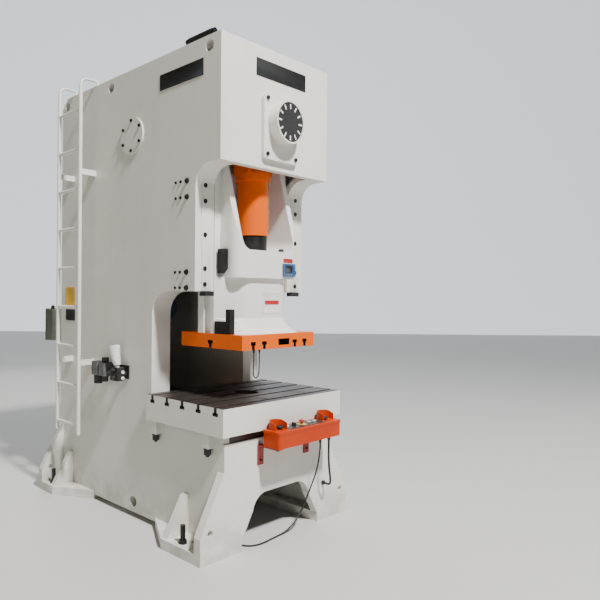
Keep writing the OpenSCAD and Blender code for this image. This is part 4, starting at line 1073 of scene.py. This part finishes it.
@dataclass(frozen=True)
class SlideFittings:
    """Small things on the slide and the connecting rod."""

    screen: tuple[Point, Point] = ((0.152, -0.8205, 1.626), (0.220, -0.819, 1.674))
    key_x: tuple[float, ...] = (0.158, 0.176, 0.194, 0.212)
    key_z: float = 1.6125
    window_bolts: tuple[Point, Point] = ((0.158, -0.768, 1.758), (0.196, -0.752, 1.761))
    window_bolt: Nut = (0.022, 0.018, 0.012)
    pipe_x: float = 0.050
    pipe_y: float = -0.757
    pipe_z: tuple[float, float] = (1.872, 2.214)
    pipe_d: float = 0.009

    def display(self) -> None:
        """Makes the height display's dark screen and its keys."""
        Plate("display_screen", *self.screen, Axis.FRONT, SCREEN_GLASS, "slide", 0.0015).build()
        places = [(x, self.screen[1][1], self.key_z) for x in self.key_x]
        profile = [(0, 0.0048), (0.0016, 0.0048), (0.0022, 0.004)]
        key = turned("display_keys", profile, 18)
        scatter(key, Axis.FRONT, places, GREY_PLASTIC, "slide")

    def floor_bolts(self) -> None:
        """Makes the two bolts on the window's floor."""
        bolt = hex_nut("window_bolts", *self.window_bolt)
        scatter(bolt, Axis.Z, list(self.window_bolts), BLACK_STEEL, "slide")

    def oil_pipe(self) -> None:
        """Makes the clear oil pipe down the rod and its clips."""
        x, y = self.pipe_x, self.pipe_y
        low, high = self.pipe_z
        straight = [(x, y, z) for z in (low, low + 0.1, high - 0.1, high - 0.02)]
        route = [*straight, (x - 0.002, y + 0.004, high)]
        dress(pipe("rod_oil_pipe", route, self.pipe_d), OIL_TUBE, "rod")
        places = [(x, y, z) for z in (low + 0.02, (low + high) / 2, high - 0.03)]
        clip = annulus("pipe_clips", 0.0068, 0.0043, 0.008, 20)
        scatter(clip, Axis.Z, places, BRIGHT_STEEL, "rod")

    def loop_glands(self) -> None:
        """Makes the two glands under the face plate that the sensor's cable leaves from."""
        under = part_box("slide_plate")[0][2]
        places = [(end[0], end[1], under) for end in (SENSOR_LOOP.route[0], SENSOR_LOOP.route[-1])]
        profile = [(0, 0.008), (0.006, 0.008), (0.007, 0.0065), (0.020, 0.0046)]
        gland = turned("loop_glands", profile, 20)
        scatter(gland, Axis.DOWN, places, BLACK_PLASTIC, "slide")

    def build(self) -> None:
        """Makes all of them."""
        self.display()
        self.floor_bolts()
        self.oil_pipe()
        self.loop_glands()


# ---- Control box ----

@dataclass(frozen=True)
class PanelFittings:
    """Rings, lamp and screws on the control box's panel."""

    top: float = 0.697
    row_y: float = -1.026
    stop_x: float = 0.056
    bezel_x: tuple[float, float] = (0.130, 0.180)
    lamp_x: float = -0.062
    lamp_back: float = 0.012
    screw_x: tuple[float, float] = (-0.092, 0.228)
    screw_y: tuple[float, float] = (-1.064, -0.988)

    def build(self) -> None:
        """Makes the stop button's yellow ring, the lamps' bezels, a lamp and the panel's screws."""
        y, z = self.row_y, self.top
        ring = annulus("stop_ring", 0.03, 0.0085, 0.0016)
        scatter(ring, Axis.Z, [(self.stop_x, y, z)], YELLOW_LABEL)
        bezel = annulus("lamp_bezels", 0.0155, 0.0118, 0.004, 32)
        scatter(bezel, Axis.Z, [(x, y, z) for x in self.bezel_x], BRIGHT_STEEL)
        dome = [(0, 0.008), (0.003, 0.008), (0.005, 0.0065), (0.0075, 0.0055), (0.009, 0.003)]
        lamp = turned("power_lamp", dome, 24)
        scatter(lamp, Axis.Z, [(self.lamp_x, y + self.lamp_back, z)], WHITE_LABEL)
        screw = turned("panel_screws", [(0, 0.0042), (0.0014, 0.0036), (0.002, 0.002)], 16)
        places = list(product(self.screw_x, self.screw_y, (z,)))
        scatter(screw, Axis.Z, places, BRIGHT_STEEL)


# ---- Frame ----

@dataclass(frozen=True)
class TerminalBox:
    """Terminal box on the frame's back, standing past its left side."""

    low: Point = (-0.590, 0.855, 1.118)
    high: Point = (-0.470, 0.955, 1.361)
    lip: float = 0.004
    lid_t: float = 0.018
    lid_proud: float = 0.002
    inset: float = 0.014
    lid_screw: Screw = (0.011, 0.004)
    gland: Nut = (0.026, 0.024, 0.014)
    gland_shift: float = 0.025

    def build(self) -> None:
        """Makes the box, its lid with screws, and its glands."""
        (x0, y0, z0), (x1, y1, z1) = self.low, self.high
        face = y1 + self.lid_proud
        shell = block("terminal_box", self.low, self.high)
        bevel(shell, 0.008, 3)
        lid = block("terminal_lid", (x0 - self.lip, y1 - self.lid_t, z0 - self.lip),
                    (x1 + self.lip, face, z1 + self.lip))
        bevel(lid, 0.006, 3)
        dress(join("terminal_box", [shell, lid]), BOX_GREY)
        edge = self.inset
        places = list(product((x0 + edge, x1 - edge), (face,), (z0 + edge, z1 - edge)))
        parts = spread(socket_screw("lid_screw", *self.lid_screw), Axis.Y, places)
        x, y = (x0 + x1) / 2, (y0 + y1) / 2
        for axis, shift, z in ((Axis.Z, -self.gland_shift, z1), (Axis.DOWN, self.gland_shift, z0)):
            parts += spread(hex_nut("box_gland", *self.gland), axis, [(x + shift, y, z)])
        dress(join("terminal_screws", parts), BLACK_STEEL)


@dataclass(frozen=True)
class AirFittings:
    """White push-in fittings on the front of the air unit's valve."""

    x: float = -0.566
    y: float = -0.033
    z: tuple[float, float] = (0.919, 0.959)

    def build(self) -> None:
        """Makes the two fittings."""
        places = [(self.x, self.y, z) for z in self.z]
        profile = [(0, 0.0115), (0.004, 0.0115), (0.005, 0.0095), (0.010, 0.0095), (0.0115, 0.008)]
        scatter(turned("air_fittings", profile, 24), Axis.FRONT, places, WHITE_LABEL)


@dataclass(frozen=True)
class ClampNuts:
    """Hexagon nuts under the bolster's clamps."""

    x: float = 0.534
    y: tuple[float, float] = (-0.813, -0.348)
    nut: Nut = (0.0375, 0.040, 0.020)

    def build(self) -> None:
        """Makes the four nuts."""
        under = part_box("bolster_clamps")[0][2]
        places = [(side * self.x, y, under) for side in (-1, 1) for y in self.y]
        scatter(hex_nut("clamp_nuts", *self.nut), Axis.DOWN, places, BLACK_STEEL)


@dataclass(frozen=True)
class LadderBolts:
    """Black hexagon heads on the feet of the ladder's stays."""

    x: float = -0.518
    y: tuple[float, float] = (0.427, 0.714)
    z: tuple[float, float] = (0.990, 2.350)
    head: Nut = (0.021, 0.0125, 0.012)

    def build(self) -> None:
        """Makes the four heads."""
        places = list(product((self.x,), self.y, self.z))
        scatter(hex_nut("ladder_bolts", *self.head), Axis.LEFT, places, BLACK_STEEL)


@dataclass(frozen=True)
class BackFittings:
    """Inspection cover on the rear plate, below the belt guard, with its screws."""

    low: Point = (-0.17, 0.855, 0.74)
    high: Point = (0.17, 0.860, 1.08)
    inset: float = 0.014
    screw: Nut = (0.012, 0.006, 0.006)

    def build(self) -> None:
        """Makes the cover and its screws."""
        plate = block("rear_cover", self.low, self.high)
        bevel(plate, 0.002)
        dress(plate, FRAME_PAINT)
        (x0, _, z0), (x1, face, z1) = self.low, self.high
        edge = self.inset
        places = list(product((x0 + edge, x1 - edge), (face,), (z0 + edge, z1 - edge)))
        scatter(hex_nut("cover_screws", *self.screw), Axis.Y, places, BLACK_STEEL)


@dataclass(frozen=True)
class Welds:
    """Weld beads where the clamps meet the frame, and a filled seam on each side."""

    bead_y: tuple[float, ...] = (-0.840, -0.786, -0.375, -0.321)
    bead_d: float = 0.0063
    seam_y: float = 0.180
    seam_z: tuple[float, ...] = (0.70, 1.2, 1.7, 2.1)
    seam_d: float = 0.024
    seam_sunk: float = 0.0113

    def build(self) -> None:
        """Makes the beads."""
        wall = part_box("side_plate_right")[1][0]
        low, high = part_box("bolster_clamps")
        beads = []
        for side in (-1, 1):
            x = side * (wall + 0.001)
            for y in self.bead_y:
                route = [(x, y, low[2] + 0.002), (x, y, high[2] - 0.004)]
                beads.append(pipe("clamp_bead", route, self.bead_d, 10))
        dress(join("clamp_beads", beads), FRAME_PAINT)
        seams = []
        for side in (-1, 1):
            route = [(side * (wall - self.seam_sunk), self.seam_y, z) for z in self.seam_z]
            seams.append(pipe("side_seam", route, self.seam_d, 8))
        dress(join("side_seams", seams), FRAME_PAINT)


# ---- Studio ----

@dataclass(frozen=True)
class Lamp:
    """One soft square lamp, with its side in metres and its power in watts."""

    name: str
    place: Point
    aim: Point
    size: float
    power: float
    tint: Colour = (1.0, 1.0, 1.0)

    def build(self) -> None:
        """Hangs the lamp and points it at its aim."""
        data = bpy.data.lights.new(self.name, "AREA")
        data.color = self.tint
        data.energy = self.power
        data.size = self.size
        lamp = bpy.data.objects.new(self.name, data)
        bpy.context.scene.collection.objects.link(lamp)
        lamp.location = self.place
        way = Vector(self.aim) - Vector(self.place)
        lamp.rotation_euler = way.to_track_quat("-Z", "Y").to_euler()


LAMPS: tuple[Lamp, ...] = (
    Lamp("key_window", (-1.5, -6.9, 10.2), (0.0, -0.6, 1.6), 0.9, 2650.0),
    Lamp("left_fill", (-7.0, -1.0, 5.2), (0.0, 0.0, 2.2), 4.0, 42.0, (1.0, 0.82, 0.45)),
    Lamp("right_fill", (6.0, -4.0, 3.5), (0.0, 0.0, 1.5), 4.0, 50.0),
    Lamp("back_fill", (2.5, 7.0, 4.0), (0.0, 0.0, 1.5), 4.0, 100.0),
)


@dataclass(frozen=True)
class Studio:
    """Camera, floor, backdrop and lights."""

    eye: Point = (-2.959, -3.292, 1.476)
    heading: float = math.radians(41.2)
    roll: float = math.radians(0.45)
    lens: float = 36.36
    shift: tuple[float, float] = (0.208, -0.0083)
    screen_away: float = 24.0
    floor_colour: Colour = (0.57, 0.56, 0.54)
    screen_glow: float = 0.95
    screen_glows: tuple[Colour, Colour] = ((0.80, 0.87, 0.93), (0.9, 0.94, 0.97))
    air_colour: Colour = (0.9, 0.93, 0.95)
    air_strength: float = 0.1

    def camera(self) -> None:
        """Stands the camera level in front of the press's left corner."""
        data = bpy.data.cameras.new("studio_camera")
        data.lens = self.lens
        data.sensor_width = 36.0
        data.shift_x, data.shift_y = self.shift
        eye = bpy.data.objects.new("studio_camera", data)
        bpy.context.scene.collection.objects.link(eye)
        level = Matrix.Rotation(-self.heading, 4, "Z") @ Matrix.Rotation(math.pi / 2, 4, "X")
        eye.matrix_world = Matrix.Translation(self.eye) @ level @ Matrix.Rotation(self.roll, 4, "Z")
        bpy.context.scene.camera = eye

    def plane(self, name: str, size: float, place: Point, turn: Point, shader: Shader) -> None:
        """Adds a flat piece of the studio.

        Args:
            name: Its name.
            size: Its side.
            place: Its middle.
            turn: Its Euler angles.
            shader: Its material's shader.
        """
        deselect()
        bpy.ops.mesh.primitive_plane_add(size=size, location=place, rotation=turn)
        flat = bpy.context.object
        flat.name = name
        flat.data.materials.append(shader.material)

    def floor(self) -> None:
        """Lays a pale floor."""
        shader = Shader("pale_floor")
        shader.set(Base_Color=self.floor_colour, Roughness=0.6)
        self.plane("studio_floor", 60.0, (0.0, 0.0, -0.0005), ORIGIN, shader)

    def backdrop(self) -> None:
        """Stands a pale, softly glowing screen far behind the press."""
        away = Vector((math.sin(self.heading), math.cos(self.heading), 0.0))
        x, y, _ = Vector(self.eye) + away * self.screen_away
        shader = Shader("pale_screen")
        glow = shader.mix(shader.noise(0.05, 1.0), *self.screen_glows)
        shader.set(Base_Color=(0.7, 0.74, 0.78), Roughness=0.9, Emission_Strength=self.screen_glow,
                   Emission_Color=glow)
        turn = (math.pi / 2, 0.0, -self.heading)
        self.plane("studio_backdrop", 70.0, (x, y, 0.0), turn, shader)

    def build(self) -> None:
        """Sets the whole studio up."""
        self.floor()
        self.backdrop()
        world = bpy.data.worlds.new("studio_air")
        world.use_nodes = True
        air = world.node_tree.nodes["Background"]
        air.inputs["Color"].default_value = (*self.air_colour, 1.0)
        air.inputs["Strength"].default_value = self.air_strength
        bpy.context.scene.world = world
        for lamp in LAMPS:
            lamp.build()


def main() -> None:
    """Builds the scene in order."""
    logging.basicConfig(level=logging.INFO, format="%(message)s")
    studio = Studio()
    studio.camera()
    for cable in (BOX_CABLE, LONG_CABLE, SENSOR_LOOP):
        cable.build()
    dress_nodes()
    for part in (*PLATES, ColumnFaces(), SlideFittings(), PanelFittings(), TerminalBox(),
                 AirFittings(), BackFittings(), ClampNuts(), LadderBolts(), Welds(), studio):
        part.build()


if __name__ == "__main__":
    main()
